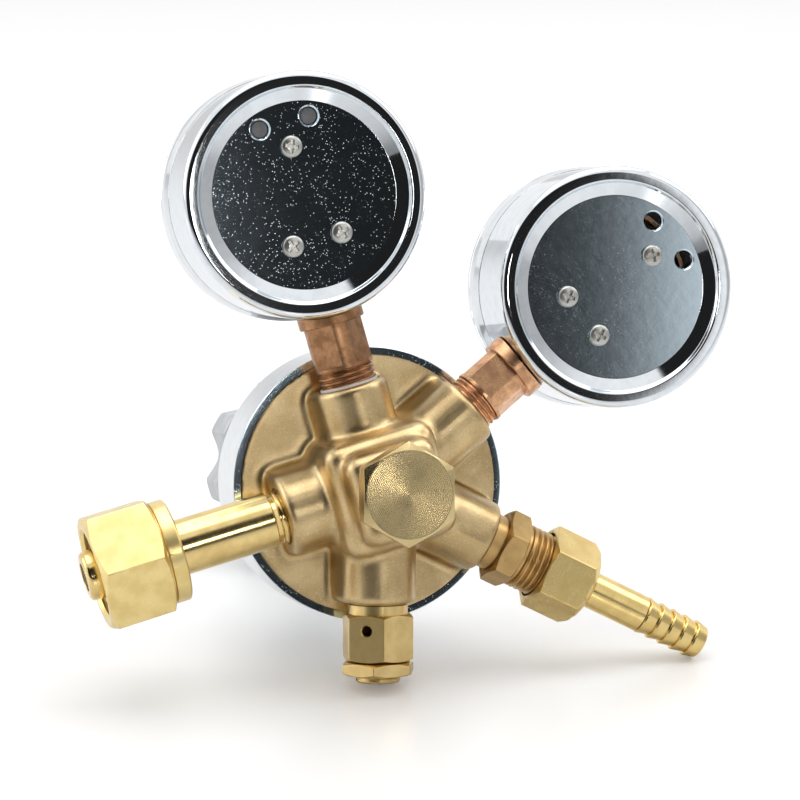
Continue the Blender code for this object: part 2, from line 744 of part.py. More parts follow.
def bonnet():
    """A spun cup: a straight skirt over the flange, a rounded shoulder, a cone and a neck."""
    bore = FLANGE_RADIUS + GAP
    clamp = diaphragm_front() + GAP + SLIP_RING_THICKNESS + GAP
    turn = BONNET_SHOULDER_ROUND
    cone_angle = 45
    shoulder = arc((BONNET_RADIUS - turn, BONNET_SHOULDER), turn, 0, cone_angle, 3)
    outer = [(BONNET_RADIUS - CHAMFER, BONNET_REAR), (BONNET_RADIUS, BONNET_REAR + CHAMFER)] + shoulder
    outer += [
        (BONNET_NECK_RADIUS + BONNET_FOOT_BLEND, BONNET_NECK - BONNET_FOOT_BLEND),
        (BONNET_NECK_RADIUS + EDGE_BREAK, BONNET_NECK - EDGE_BREAK),
        (BONNET_NECK_RADIUS, BONNET_NECK + CHAMFER),
        (BONNET_NECK_RADIUS, BONNET_NOSE - CHAMFER),
        (BONNET_NECK_RADIUS - CHAMFER, BONNET_NOSE),
    ]
    thread = SCREW_RADIUS + GAP
    room = BUTTON_RADIUS + GAP * 2
    ceiling = button_front + GAP
    inner = [
        (thread, BONNET_NOSE),
        (thread, ceiling),
        (room, ceiling),
        (room, ceiling - BUTTON_THICKNESS),
        (BONNET_RADIUS - turn, BONNET_SHOULDER - BONNET_WALL * 0.2),
        (BONNET_RADIUS - turn, clamp),
        (bore, clamp),
        (bore, BONNET_REAR),
    ]
    cup = turned("bonnet", outer + inner, CHROMED, axis, LARGE_ROUND)
    mid = (BONNET_SHOULDER + BONNET_NECK) / 2
    vent = rod("bonnet_vent", axis, (0, BUTTON_RADIUS, mid), (0, BONNET_RADIUS, mid), BONNET_VENT_RADIUS)
    cut(cup, vent)


def knob_outline():
    """Lobes with flat ends, and a hollow between each two."""
    pitch = 360 / KNOB_LOBES
    half = KNOB_LOBE_WIDTH / 2
    points = []
    for lobe in range(KNOB_LOBES):
        centre = -KNOB_PHASE + pitch * lobe
        for angle in (centre - half, centre + half):
            points.append((KNOB_RADIUS, angle))
        hollow = pitch - KNOB_LOBE_WIDTH
        for step in range(1, 6):
            share = step / 6
            depth = (KNOB_RADIUS - KNOB_VALLEY) * math.sin(math.pi * share) ** 0.8
            points.append((KNOB_RADIUS - depth, centre + half + hollow * share))
    return polar(points)


def knob():
    screw_tip = button_front + GAP
    tip = [
        (0, screw_tip),
        (SCREW_RADIUS - CHAMFER * 2, screw_tip),
        (SCREW_RADIUS, screw_tip + CHAMFER * 2),
        (SCREW_RADIUS, SCREW_FRONT - CHAMFER),
        (SCREW_RADIUS - CHAMFER, SCREW_FRONT),
        (0, SCREW_FRONT),
    ]
    turned("adjusting_screw", tip, STEEL, screw_axis)
    front = KNOB_REAR + KNOB_THICKNESS
    rim = plate_mesh("knob", knob_outline(), KNOB_REAR, front, KNOB_EDGE, False)
    wheel = add_part("knob", rim, GREY_ALLOY, screw_axis)
    hub = [
        (0, KNOB_HUB_REAR),
        (KNOB_HUB_RADIUS - CHAMFER, KNOB_HUB_REAR),
        (KNOB_HUB_RADIUS, KNOB_HUB_REAR + CHAMFER),
        (KNOB_HUB_RADIUS, KNOB_REAR + CHAMFER * 2),
        (0, KNOB_REAR + CHAMFER * 2),
    ]
    join(wheel, turned_tool("knob_hub", hub, screw_axis))
    cap_back = front - GAP - KNOB_CAP_THICKNESS
    hole = SCREW_RADIUS + GAP
    bore = [
        (0, KNOB_HUB_REAR - GAP),
        (hole, KNOB_HUB_REAR - GAP),
        (hole, cap_back - GAP),
        (KNOB_CAP_RADIUS + GAP, cap_back - GAP),
        (KNOB_CAP_RADIUS + GAP, front + GAP),
        (0, front + GAP),
    ]
    cut(wheel, turned_tool("knob_bore", bore, screw_axis))
    mouth = (0, -KNOB_HUB_RADIUS * 1.2, GRUB_PLACE)
    cut(wheel, rod("grub_hole", screw_axis, (0, 0, GRUB_PLACE), mouth, GRUB_RADIUS + GAP))
    cap = [
        (0, cap_back),
        (KNOB_CAP_RADIUS, cap_back),
        (KNOB_CAP_RADIUS, front - GAP - EDGE_BREAK),
        (KNOB_CAP_RADIUS - EDGE_BREAK, front - GAP),
        (0, front - GAP),
    ]
    turned("knob_cap", cap, BLACK_ENAMEL, screw_axis)
    grub_place = empty("grub_axis", screw_axis, (0, 0, GRUB_PLACE), (math.radians(90), 0, 0))
    grub = [
        (0, SCREW_RADIUS + GAP),
        (GRUB_RADIUS - EDGE_BREAK, SCREW_RADIUS + GAP),
        (GRUB_RADIUS, SCREW_RADIUS + GAP + EDGE_BREAK),
        (GRUB_RADIUS, KNOB_HUB_RADIUS - GAP),
        (GRUB_RADIUS * 0.5, KNOB_HUB_RADIUS - GAP),
        (GRUB_RADIUS * 0.5, KNOB_HUB_RADIUS - GAP - CHAMFER),
        (0, KNOB_HUB_RADIUS - GAP - CHAMFER),
    ]
    turned("knob_grub_screw", grub, BLACK_ENAMEL, grub_place, SMALL_ROUND)


def inlet_fitting():
    start = PORT_BOTTOM + THREAD_RELIEF
    shoulder_end = STEM_SHOULDER + STEM_SHOULDER_WIDTH
    filter_floor = STEM_END - FILTER_LENGTH - GAP * 2
    nose_round = STEM_NOSE_ROUND
    nose = arc((STEM_NOSE_RADIUS - nose_round, STEM_END - nose_round), nose_round, 0, 70, 3)
    stem = [
        (STEM_BORE_RADIUS, start),
        (STEM_THREAD_RADIUS - CHAMFER, start),
        (STEM_THREAD_RADIUS, start + CHAMFER),
        (STEM_THREAD_RADIUS, INLET_BOSS_END + CHAMFER),
        (STEM_RADIUS, INLET_BOSS_END + CHAMFER + EDGE_BREAK),
        (STEM_RADIUS, STEM_SHOULDER),
        (STEM_SHOULDER_RADIUS, STEM_SHOULDER),
        (STEM_SHOULDER_RADIUS, shoulder_end - CHAMFER),
        (STEM_SHOULDER_RADIUS - CHAMFER, shoulder_end),
        (STEM_NOSE_RADIUS, shoulder_end),
    ]
    stem += nose
    stem += [
        (FILTER_RADIUS + GAP, STEM_END),
        (FILTER_RADIUS + GAP, filter_floor),
        (STEM_BORE_RADIUS, filter_floor),
    ]
    turned("inlet_stem", stem, COPPER_BRASS, inlet)
    low = filter_floor + GAP
    high = STEM_END - GAP
    mesh = [(0, low), (FILTER_RADIUS, low), (FILTER_RADIUS, high), (0, high)]
    turned("inlet_filter", mesh, SINTERED, inlet, SMALL_ROUND)
    collar_end = INLET_NUT_REAR + INLET_NUT_COLLAR
    envelope = chamfered_hex(collar_end, INLET_NUT_END, INLET_NUT_FLATS)
    hole = STEM_RADIUS + GAP * 1.3
    seat = STEM_SHOULDER - GAP
    collar = INLET_NUT_COLLAR_RADIUS
    groove = collar - EDGE_BREAK
    nut = [
        (hole, INLET_NUT_REAR),
        (collar - CHAMFER, INLET_NUT_REAR),
        (collar, INLET_NUT_REAR + CHAMFER),
        (collar, collar_end - INLET_NUT_GROOVE),
        (groove, collar_end - INLET_NUT_GROOVE + EDGE_BREAK / 2),
        (groove, collar_end),
    ]
    nut += envelope
    nut += [
        (INLET_NUT_THREAD_RADIUS + EDGE_BREAK, INLET_NUT_END),
        (INLET_NUT_THREAD_RADIUS, INLET_NUT_END - EDGE_BREAK),
        (INLET_NUT_THREAD_RADIUS, seat),
        (hole, seat),
    ]
    made = turned("inlet_nut", nut, TURNED_BRASS, inlet, HEXAGON_ROUND)
    low = INLET_NUT_REAR - GAP
    trim = prism("inlet_nut_hexagon", inlet, 6, INLET_NUT_FLATS, low, INLET_NUT_END + GAP, INLET_NUT_TURN)
    combine(made, trim, "INTERSECT")


def outlet_fitting():
    start = PORT_BOTTOM + THREAD_RELIEF
    envelope = chamfered_hex(OUTLET_HEX_START, OUTLET_HEX_END, OUTLET_FLATS)
    adapter = [
        (TAIL_BORE_RADIUS, start),
        (OUTLET_THREAD_RADIUS - CHAMFER, start),
        (OUTLET_THREAD_RADIUS, start + CHAMFER),
        (OUTLET_THREAD_RADIUS, OUTLET_BOSS_END + GAP),
        (OUTLET_NECK_RADIUS, OUTLET_BOSS_END + GAP),
        (OUTLET_NECK_RADIUS, OUTLET_HEX_START),
    ]
    adapter += envelope
    adapter += [
        (UNION_THREAD_RADIUS, OUTLET_HEX_END),
        (UNION_THREAD_RADIUS, UNION_THREAD_END - CHAMFER),
        (UNION_THREAD_RADIUS - CHAMFER, UNION_THREAD_END),
        (TAIL_BORE_RADIUS, UNION_THREAD_END),
    ]
    made = turned("outlet_adapter", adapter, COPPER_BRASS, outlet, HEXAGON_ROUND)
    trim = prism("outlet_hexagon", outlet, 6, OUTLET_FLATS, start - GAP, UNION_THREAD_END + GAP, OUTLET_TURN)
    combine(made, trim, "INTERSECT")

    nose_start = UNION_THREAD_END + GAP
    nose_end = nose_start + TAIL_NOSE
    tail = [
        (TAIL_BORE_RADIUS, nose_start),
        (TAIL_NOSE_RADIUS, nose_start),
        (TAIL_NOSE_RADIUS, nose_end - EDGE_BREAK),
        (TAIL_NOSE_RADIUS - EDGE_BREAK, nose_end),
        (TAIL_RADIUS, nose_end),
        (TAIL_RADIUS, BARB_START),
    ]
    for barb in range(BARBS):
        rise = BARB_START + BARB_PITCH * barb
        tail += [(BARB_RADIUS, rise + BARB_CREST), (BARB_ROOT_RADIUS, rise + BARB_PITCH)]
    tip = BARB_START + BARB_PITCH * BARBS
    tail += [(TAIL_BORE_RADIUS, tip)]
    turned("hose_barb", tail, TURNED_BRASS, outlet)

    hole = TAIL_RADIUS + GAP
    seat = nose_end + GAP
    envelope = chamfered_hex(UNION_START, UNION_END, UNION_FLATS)
    corner = envelope[2][0]
    half = UNION_FLATS / 2
    nut = [(UNION_THREAD_RADIUS + GAP, UNION_START)] + envelope[:2]
    nut += [(corner, UNION_END - UNION_ROUND), (half * 1.02, UNION_END - UNION_ROUND * 0.43)]
    nut += [(half * 0.86, UNION_END)]
    nut += [(hole, UNION_END), (hole, seat), (UNION_THREAD_RADIUS + GAP, seat)]
    made = turned("outlet_nut", nut, TURNED_BRASS, outlet, HEXAGON_ROUND)
    trim = prism("union_hexagon", outlet, 6, UNION_FLATS, UNION_START - GAP, UNION_END + GAP, UNION_TURN)
    combine(made, trim, "INTERSECT")


def relief_valve():
    start = PORT_BOTTOM + THREAD_RELIEF
    bore = RELIEF_BORE_RADIUS
    envelope = chamfered_hex(RELIEF_HEX_START, RELIEF_HEX_END, RELIEF_FLATS)
    body = [
        (RELIEF_ORIFICE_RADIUS, start),
        (RELIEF_THREAD_RADIUS - CHAMFER, start),
        (RELIEF_THREAD_RADIUS, start + CHAMFER),
        (RELIEF_THREAD_RADIUS, RELIEF_BOSS_END + GAP),
        (RELIEF_NECK_RADIUS, RELIEF_BOSS_END + GAP),
        (RELIEF_NECK_RADIUS, RELIEF_HEX_START),
    ]
    body += envelope
    body += [(bore, RELIEF_HEX_END), (bore, RELIEF_SEAT), (RELIEF_ORIFICE_RADIUS, RELIEF_SEAT)]
    made = turned("relief_body", body, TURNED_BRASS, relief, HEXAGON_ROUND)
    trim = prism("relief_hexagon", relief, 6, RELIEF_FLATS, start - GAP, RELIEF_HEX_END + GAP, RELIEF_TURN)
    combine(made, trim, "INTERSECT")
    way = Vector((math.sin(math.radians(RELIEF_VENT_TURN)), -math.cos(math.radians(RELIEF_VENT_TURN)), 0))
    vent_axis = Vector((0, 0, RELIEF_VENT_PLACE))
    cut(made, rod("relief_vent", relief, vent_axis, vent_axis + way * RELIEF_FLATS, RELIEF_VENT_RADIUS))

    poppet_back = RELIEF_SEAT + GAP
    poppet_radius = bore - GAP
    poppet_end = poppet_back + RELIEF_POPPET_LENGTH
    guide = RELIEF_SPRING_RADIUS - RELIEF_WIRE - GAP
    guide_start = poppet_end - RELIEF_GUIDE_LENGTH
    poppet = [
        (0, poppet_back),
        (poppet_radius - CHAMFER, poppet_back),
        (poppet_radius, poppet_back + CHAMFER),
        (poppet_radius, guide_start),
        (guide, guide_start),
        (guide, poppet_end),
        (0, poppet_end),
    ]
    turned("relief_poppet", poppet, TURNED_BRASS, relief, SMALL_ROUND)
    adjuster_start = ADJUSTER_END - ADJUSTER_LENGTH
    pocket = adjuster_start + ADJUSTER_POCKET_DEPTH
    thread = bore - GAP
    adjuster = [
        (ADJUSTER_POCKET_RADIUS, adjuster_start),
        (thread, adjuster_start),
        (thread, ADJUSTER_END - EDGE_BREAK),
        (thread - EDGE_BREAK, ADJUSTER_END),
        (0, ADJUSTER_END),
        (0, pocket),
        (ADJUSTER_POCKET_RADIUS, pocket),
    ]
    screw = turned("relief_adjuster", adjuster, TURNED_BRASS, relief)
    slot = (RELIEF_FLATS, ADJUSTER_SLOT / 2, ADJUSTER_END + GAP)
    low = (-RELIEF_FLATS, -ADJUSTER_SLOT / 2, ADJUSTER_END - ADJUSTER_SLOT)
    cut(screw, box("adjuster_slot", relief, low, slot))
    nut_start = RELIEF_HEX_END + GAP
    nut_end = nut_start + LOCKNUT_THICKNESS
    ring = [(bore, nut_start)] + chamfered_hex(nut_start, nut_end, LOCKNUT_FLATS) + [(bore, nut_end)]
    made = turned("relief_locknut", ring, TURNED_BRASS, relief, HEXAGON_ROUND)
    trim = prism("locknut_hexagon", relief, 6, LOCKNUT_FLATS, nut_start - GAP, nut_end + GAP, LOCKNUT_TURN)
    combine(made, trim, "INTERSECT")
    sizes = (RELIEF_SPRING_RADIUS, RELIEF_WIRE, RELIEF_SPRING_TURNS, guide_start + GAP, pocket - GAP)
    coil("relief_spring", STEEL, relief, *sizes)


def gauge_case(name, face):
    """A pressed steel cup with a rolled rear edge and a dished back."""
    back = RECESS_FLOOR
    floor = back + CASE_WALL
    inner = CASE_RADIUS - CASE_STEP_DEPTH - CASE_WALL
    edge = CASE_RADIUS - CREST_RADIUS
    crest = arc((CREST_RADIUS, CASE_REAR + edge), edge, 270, 360, 3)
    stepped = CASE_RADIUS - CASE_STEP_DEPTH
    shoulder = EDGE_BREAK * 0.7
    points = [(0, back), (RECESS_INNER, back), (RECESS_OUTER, RECESS_FOOT)]
    points += [(RECESS_OUTER + shoulder, CASE_REAR + shoulder)] + crest
    points += [
        (CASE_RADIUS, CASE_STEP - GAP),
        (stepped, CASE_STEP - GAP),
        (stepped, CASE_FRONT),
        (inner, CASE_FRONT),
        (inner, floor),
        (0, floor),
    ]
    case = turned(name + "_case", points, CHROMED, face, LARGE_ROUND)
    holes = [(place, BACK_SCREW_THREAD + GAP) for place in BACK_SCREWS]
    holes += [(place, CASE_VENT_RADIUS) for place in CASE_VENTS]
    for index, (place, radius) in enumerate(holes):
        ends = ((*place, CASE_REAR), (*place, 0))
        cut(case, rod(f"{name}_case_hole_{index + 1}", face, *ends, radius, HOLE_ROUND))
    outside = (0, -CASE_RADIUS * 1.2, 0)
    cut(case, rod(name + "_neck_hole", face, outside, (0, BLOCK_LOW, 0), SOCKET_SHANK_RADIUS + GAP))


def gauge_front(name, face):
    stepped = CASE_RADIUS - CASE_STEP_DEPTH
    inner = stepped + GAP
    seat = CASE_FRONT + GAP
    window_front = seat + WINDOW_THICKNESS
    points = [
        (inner, CASE_STEP),
        (BEZEL_RADIUS - EDGE_BREAK / 2, CASE_STEP),
        (BEZEL_RADIUS, CASE_STEP + EDGE_BREAK / 2),
        (BEZEL_RADIUS, BEZEL_FRONT - CHAMFER),
        (BEZEL_RADIUS - CHAMFER, BEZEL_FRONT),
        (BEZEL_LIP_RADIUS + BEZEL_LIP, BEZEL_FRONT),
        (BEZEL_LIP_RADIUS, BEZEL_FRONT - BEZEL_LIP / 2),
        (BEZEL_LIP_RADIUS, window_front + GAP),
        (inner, window_front + GAP),
    ]
    turned(name + "_bezel", points, CHROMED, face, LARGE_ROUND)
    pane = [(0, seat), (stepped, seat), (stepped, window_front), (0, window_front)]
    turned(name + "_window", pane, CLEAR, face, LARGE_ROUND)
    front = DIAL_BACK + DIAL_THICKNESS
    hole = ARBOR_RADIUS + GAP
    sheet = [(hole, DIAL_BACK), (DIAL_RADIUS, DIAL_BACK), (DIAL_RADIUS, front), (hole, front)]
    turned(name + "_dial", sheet, WHITE_ENAMEL, face, LARGE_ROUND)


def gauge_socket(name, port, face, distance, thread_end, flats_end, flats_turn):
    """A brass bar with a thread, four milled flats, a collar and the block that holds the tube."""
    start = PORT_BOTTOM + THREAD_RELIEF
    bar = [
        (0, start),
        (SOCKET_THREAD_RADIUS - CHAMFER, start),
        (SOCKET_THREAD_RADIUS, start + CHAMFER),
        (SOCKET_THREAD_RADIUS, thread_end),
        (SOCKET_RADIUS, thread_end),
        (SOCKET_RADIUS, flats_end),
        (SOCKET_COLLAR_RADIUS, flats_end),
        (SOCKET_COLLAR_RADIUS, distance - BLOCK_WIDTH),
        (0, distance - BLOCK_WIDTH),
    ]
    socket = turned(name + "_socket", bar, COPPER_BRASS, port)
    reach = CASE_FRONT
    cut(socket, rod(name + "_saddle", face, (0, 0, -reach), (0, 0, reach), CASE_RADIUS + GAP, LARGE_ROUND))
    for index in range(4):
        angle = 90 * index + flats_turn
        low = (SOCKET_FLATS / 2, -SOCKET_FLATS / 3, thread_end + SOCKET_BAND)
        high = (SOCKET_FLATS, SOCKET_FLATS / 3, flats_end)
        flat = box(f"{name}_flat_{index + 1}", port, low, high)
        flat.rotation_euler.z = math.radians(angle)
        cut(socket, flat)
    block_back = RECESS_FLOOR + CASE_WALL + GAP
    low = (-BLOCK_WIDTH / 2, BLOCK_LOW, block_back)
    high = (BLOCK_WIDTH / 2, BLOCK_HIGH, BLOCK_FRONT)
    block = box(name + "_block", face, low, high)
    block_middle = (0, 0, distance + (BLOCK_LOW + BLOCK_HIGH) / 2)
    neck = rod(name + "_neck", port, (0, 0, flats_end), block_middle, SOCKET_SHANK_RADIUS)
    join(socket, neck, block)
    end = block_back + BACK_SCREW_LENGTH
    thread = BACK_SCREW_THREAD + GAP
    for index, place in enumerate(BACK_SCREWS[1:]):
        ends = ((*place, CASE_REAR), (*place, end))
        cut(socket, rod(f"{name}_block_hole_{index + 1}", face, *ends, thread, HOLE_ROUND))
    entry = (0, 0, start - GAP)
    cut(socket, rod(name + "_bore", port, entry, (0, 0, distance + BLOCK_LOW), PASSAGE_RADIUS, HOLE_ROUND))


def back_screws(name, face):
    head = RECESS_FLOOR - GAP
    top = head - BACK_SCREW_HEAD_HEIGHT
    for index, place in enumerate(BACK_SCREWS):
        x, y = place
        seat = empty(f"{name}_back_screw_axis_{index + 1}", face, (x, y, 0))
        points = [
            (0, top),
            (BACK_SCREW_HEAD * 0.7, top),
            (BACK_SCREW_HEAD, top + BACK_SCREW_HEAD_HEIGHT * 0.5),
            (BACK_SCREW_HEAD, head),
            (BACK_SCREW_THREAD, head),
            (BACK_SCREW_THREAD, head + BACK_SCREW_LENGTH),
            (0, head + BACK_SCREW_LENGTH),
        ]
        turned(f"{name}_back_screw_{index + 1}", points, STEEL, seat, SMALL_ROUND)


def bourdon_tube(name, face):
    """A flat tube bent round from the block to its free tip."""
    half = TUBE_THICKNESS / 2
    width = TUBE_WIDTH / 2
    section = [
        (half, -width * 0.6),
        (half, width * 0.6),
        (half * 0.5, width),
        (-half * 0.5, width),
        (-half, width * 0.6),
        (-half, -width * 0.6),
        (-half * 0.5, -width),
        (half * 0.5, -width),
    ]
    turn = Matrix.Rotation(math.radians(TUBE_START), 3, "Z")
    bm = bmesh.new()
    face_ring = bm.faces.new([bm.verts.new(turn @ Vector((TUBE_RADIUS + x, 0, z))) for x, z in section])
    sweep = -math.radians(TUBE_SWEEP)
    bmesh.ops.spin(bm, geom=[face_ring], axis=(0, 0, 1), angle=sweep, steps=TUBE_STEPS)
    add_part(name + "_bourdon_tube", mesh_from(name, bm), COPPER_BRASS, face)


def gear_tooth(teeth, centre_angle):
    """Four points of one tooth, from root to root."""
    pitch = GEAR_MODULE * teeth / 2
    root = pitch - GEAR_MODULE * 1.25
    top = pitch + GEAR_MODULE * 0.85
    angle = math.degrees(math.pi / teeth)
    return (
        (root, centre_angle - angle * 0.62),
        (top, centre_angle - angle * 0.18),
        (top, centre_angle + angle * 0.18),
        (root, centre_angle + angle * 0.62),
    )


def centre_distance():
    return GEAR_MODULE * (PINION_TEETH + SECTOR_TEETH) / 2


def gauge_movement(name, face):
    """Two brass plates on pillars, with the post that the upper back screw holds."""
    rear = REAR_PLATE
    front = DIAL_BACK - GAP - PLATE_SHEET
    pivot = polar([(centre_distance(), PIVOT_ANGLE)])[0]
    left = -PLATE_REACH
    right = pivot[0] + PLATE_MARGIN
    low = pivot[1] - PLATE_MARGIN
    high = PLATE_REACH
    post = BACK_SCREWS[0]
    top = post[1] + PLATE_MARGIN
    outline = [(left, low), (right, low), (right, high), (post[0] + PLATE_MARGIN, top)]
    outline += [(post[0] - PLATE_MARGIN, top), (left, high)]
    plate = plate_mesh(name + "_plate", outline, rear, rear + PLATE_SHEET)
    frame = add_part(name + "_movement", plate, TURNED_BRASS, face)
    short = [(left, low), (right, low), (right, high), (left, high)]
    bridge = plate_mesh(name + "_bridge", short, front, front + PLATE_SHEET)
    join(frame, add_tool(name + "_bridge", bridge, face))
    middles = (rear + PLATE_SHEET / 2, front + PLATE_SHEET / 2)
    inset = PILLAR_INSET
    for index, place in enumerate(((left + inset, low + inset), (right - inset, high - inset))):
        ends = [(*place, middle) for middle in middles]
        join(frame, rod(f"{name}_pillar_{index + 1}", face, *ends, PILLAR_RADIUS))
    block_back = RECESS_FLOOR + CASE_WALL + GAP
    join(frame, rod(name + "_post", face, (*post, block_back), (*post, middles[0]), POST_RADIUS, HOLE_ROUND))
    screw_end = block_back + BACK_SCREW_LENGTH
    thread = BACK_SCREW_THREAD + GAP
    cut(frame, rod(name + "_post_hole", face, (*post, CASE_REAR), (*post, screw_end), thread, HOLE_ROUND))
    bearing = ARBOR_RADIUS + GAP
    for index, place in enumerate(((0, 0), pivot)):
        ends = ((*place, 0), (*place, DIAL_BACK))
        cut(frame, rod(f"{name}_pivot_hole_{index + 1}", face, *ends, bearing, HOLE_ROUND))


def gauge_gears(name, face):
    """The toothed sector and its arm, and the pinion on the pointer's arbor."""
    top = GEAR_BACK + GEAR_THICKNESS
    arbor_back = REAR_PLATE - GAP
    pinion_outline = []
    for tooth in range(PINION_TEETH):
        pinion_outline += gear_tooth(PINION_TEETH, PIVOT_ANGLE + 360 / PINION_TEETH * tooth)
    pointer_top = POINTER_PLACE + POINTER_THICKNESS
    boss_back = POINTER_PLACE - POINTER_THICKNESS
    arbor = [
        (0, arbor_back),
        (ARBOR_RADIUS, arbor_back),
        (ARBOR_RADIUS, boss_back),
        (POINTER_BOSS_RADIUS, boss_back),
        (POINTER_BOSS_RADIUS, pointer_top),
        (POINTER_BOSS_RADIUS - CHAMFER, pointer_top + CHAMFER),
        (0, pointer_top + CHAMFER),
    ]
    pointer = turned(name + "_pointer", arbor, BLACK_ENAMEL, face, HOLE_ROUND)
    pinion_mesh = plate_mesh(name + "_pinion", polar(pinion_outline), GEAR_BACK, top)
    pinion = add_tool(name + "_pinion", pinion_mesh, face)
    wide = POINTER_HALF_WIDTH * 1.3
    middle = POINTER_HALF_WIDTH
    tip = POINTER_TIP_HALF_WIDTH
    blade_outline = [
        (-POINTER_TAIL, -wide),
        (0, -middle),
        (POINTER_LENGTH, -tip),
        (POINTER_LENGTH, tip),
        (0, middle),
        (-POINTER_TAIL, wide),
    ]
    blade = add_tool(
        name + "_blade", plate_mesh(name + "_blade", blade_outline, POINTER_PLACE, pointer_top), face
    )
    blade.rotation_euler.z = math.radians(POINTER_ZERO)
    join(pointer, pinion, blade)

    distance = centre_distance()
    pivot = Vector((*polar([(distance, PIVOT_ANGLE)])[0], 0))
    sector_axis = empty(name + "_sector_axis", face, pivot)
    facing = PIVOT_ANGLE + 180
    hub = ARBOR_RADIUS * 2.8
    step = 360 / SECTOR_TEETH
    travel = 270 / (SECTOR_TEETH / PINION_TEETH)
    behind = 1
    ahead = math.ceil(travel / step) + 1
    outline = []
    for tooth in range(behind, -ahead - 1, -1):
        outline += reversed(gear_tooth(SECTOR_TEETH, facing + step * (tooth - 0.5)))
    outline += [(hub, (TAIL_ARM_ANGLE + facing) / 2 - 15)]
    arm_tip = TAIL_ARM + LINK_WIDTH * 0.75
    outline += [(arm_tip, TAIL_ARM_ANGLE + 9), (arm_tip, TAIL_ARM_ANGLE - 9)]
    outline += [(hub, TAIL_ARM_ANGLE - 45 * turn) for turn in range(1, 5)]
    sector_mesh = plate_mesh(name + "_sector", polar(outline), GEAR_BACK, top)
    sector = add_part(name + "_sector", sector_mesh, TURNED_BRASS, sector_axis)
    arbor_ends = ((0, 0, arbor_back), (0, 0, DIAL_BACK - GAP))
    join(sector, rod(name + "_sector_arbor", sector_axis, *arbor_ends, ARBOR_RADIUS, HOLE_ROUND))
    arm_end = polar([(TAIL_ARM, TAIL_ARM_ANGLE)])[0]
    hole = LINK_PIN_RADIUS + GAP
    cut(sector, rod(name + "_arm_hole", sector_axis, (*arm_end, 0), (*arm_end, DIAL_BACK), hole, HOLE_ROUND))

    link_axis = empty(name + "_link_axis", sector_axis, (*arm_end, 0))
    tip_angle = TUBE_START - TUBE_SWEEP + 4
    tip = Vector((*polar([(TUBE_RADIUS, tip_angle)])[0], 0))
    reach = tip - pivot - Vector((*arm_end, 0))
    link_low = top + GAP
    half = LINK_WIDTH / 2
    along = math.degrees(math.atan2(reach.y, reach.x))
    length = reach.length
    bar_outline = arc((0, 0), half, 90, 270, 4) + arc((length, 0), half, -90, 90, 4)
    bar_mesh = plate_mesh(name + "_link", bar_outline, link_low, link_low + LINK_THICKNESS)
    bar = add_part(name + "_link", bar_mesh, STEEL, link_axis)
    bar.rotation_euler.z = math.radians(along)
    mid = link_low + LINK_THICKNESS / 2
    join(bar, rod(name + "_arm_pin", bar, (0, 0, GEAR_BACK), (0, 0, mid), LINK_PIN_RADIUS))
    tip_end = (length, 0, TUBE_WIDTH / 2 + GAP)
    join(bar, rod(name + "_tip_pin", bar, tip_end, (length, 0, mid), LINK_PIN_RADIUS))


def gauge(name, port, distance, *socket_sizes):
    face = empty(name + "_face", port, (0, 0, distance), (math.radians(90), 0, math.pi))
    gauge_case(name, face)
    gauge_front(name, face)
    gauge_socket(name, port, face, distance, *socket_sizes)
    back_screws(name, face)
    bourdon_tube(name, face)
    gauge_movement(name, face)
    gauge_gears(name, face)


def port_empty(name, angle):
    """A frame at the regulating axis whose Z axis points out through the port."""
    return empty(name, root, (0, 0, 0), (0, math.radians(90 - angle), 0))


def world_points(names):
    """The corners of the finished parts, in the world."""
    bpy.context.view_layer.update()
    graph = bpy.context.evaluated_depsgraph_get()
    made = []
    for name in names:
        evaluated = bpy.data.objects[name].evaluated_get(graph)
        mesh = evaluated.to_mesh()
        made.append([evaluated.matrix_world @ vertex.co for vertex in mesh.vertices])
        evaluated.to_mesh_clear()
    return made


def stand_on_the_bench():
    """Turns the regulator until its relief valve, hose tail and knob touch one level plane."""
    supports = world_points(("relief_adjuster", "hose_barb", "knob"))
    up = Vector((0, 0, 1))
    for _ in range(20):
        feet = [min(points, key=up.dot) for points in supports]
        normal = (feet[1] - feet[0]).cross(feet[2] - feet[0]).normalized()
        up = normal if normal.z > 0 else -normal
    root.rotation_euler = up.rotation_difference(Vector((0, 0, 1))).to_euler()
    solids = [part.name for part in parts.objects if part.type != "EMPTY"]
    corners = [point for points in world_points(solids) for point in points]
    low = [min(point[side] for point in corners) for side in range(3)]
    high = [max(point[side] for point in corners) for side in range(3)]
    root.location = (-(low[0] + high[0]) / 2, -(low[1] + high[1]) / 2, -low[2])


clear_scene()
parts = new_collection("nitrogen_pressure_regulator")
tools = new_collection("cutters")
root = empty("regulator")
axis = empty("regulating_axis", root, (0, 0, 0), (math.radians(-90), 0, 0))
screw_axis = empty("screw_axis", axis)
inlet = port_empty("inlet_port", INLET_ANGLE)
inlet_gauge = port_empty("inlet_gauge_port", INLET_GAUGE_ANGLE)
outlet_gauge = port_empty("outlet_gauge_port", OUTLET_GAUGE_ANGLE)
outlet = port_empty("outlet_port", OUTLET_ANGLE)
relief = port_empty("relief_port", RELIEF_ANGLE)

forging()
seat_plug()
valve()
diaphragm()
button_front = spring_stack()
bonnet()
knob()
inlet_fitting()
outlet_fitting()
relief_valve()
gauge(
    "inlet_gauge",
    inlet_gauge,
    INLET_GAUGE_DISTANCE,
    INLET_GAUGE_THREAD_END,
    INLET_GAUGE_COLLAR,
    INLET_GAUGE_FLATS_TURN,
)
gauge(
    "outlet_gauge",
    outlet_gauge,
    OUTLET_GAUGE_DISTANCE,
    OUTLET_GAUGE_THREAD_END,
    OUTLET_GAUGE_COLLAR,
    OUTLET_GAUGE_FLATS_TURN,
)
stand_on_the_bench()
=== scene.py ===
import json
import math

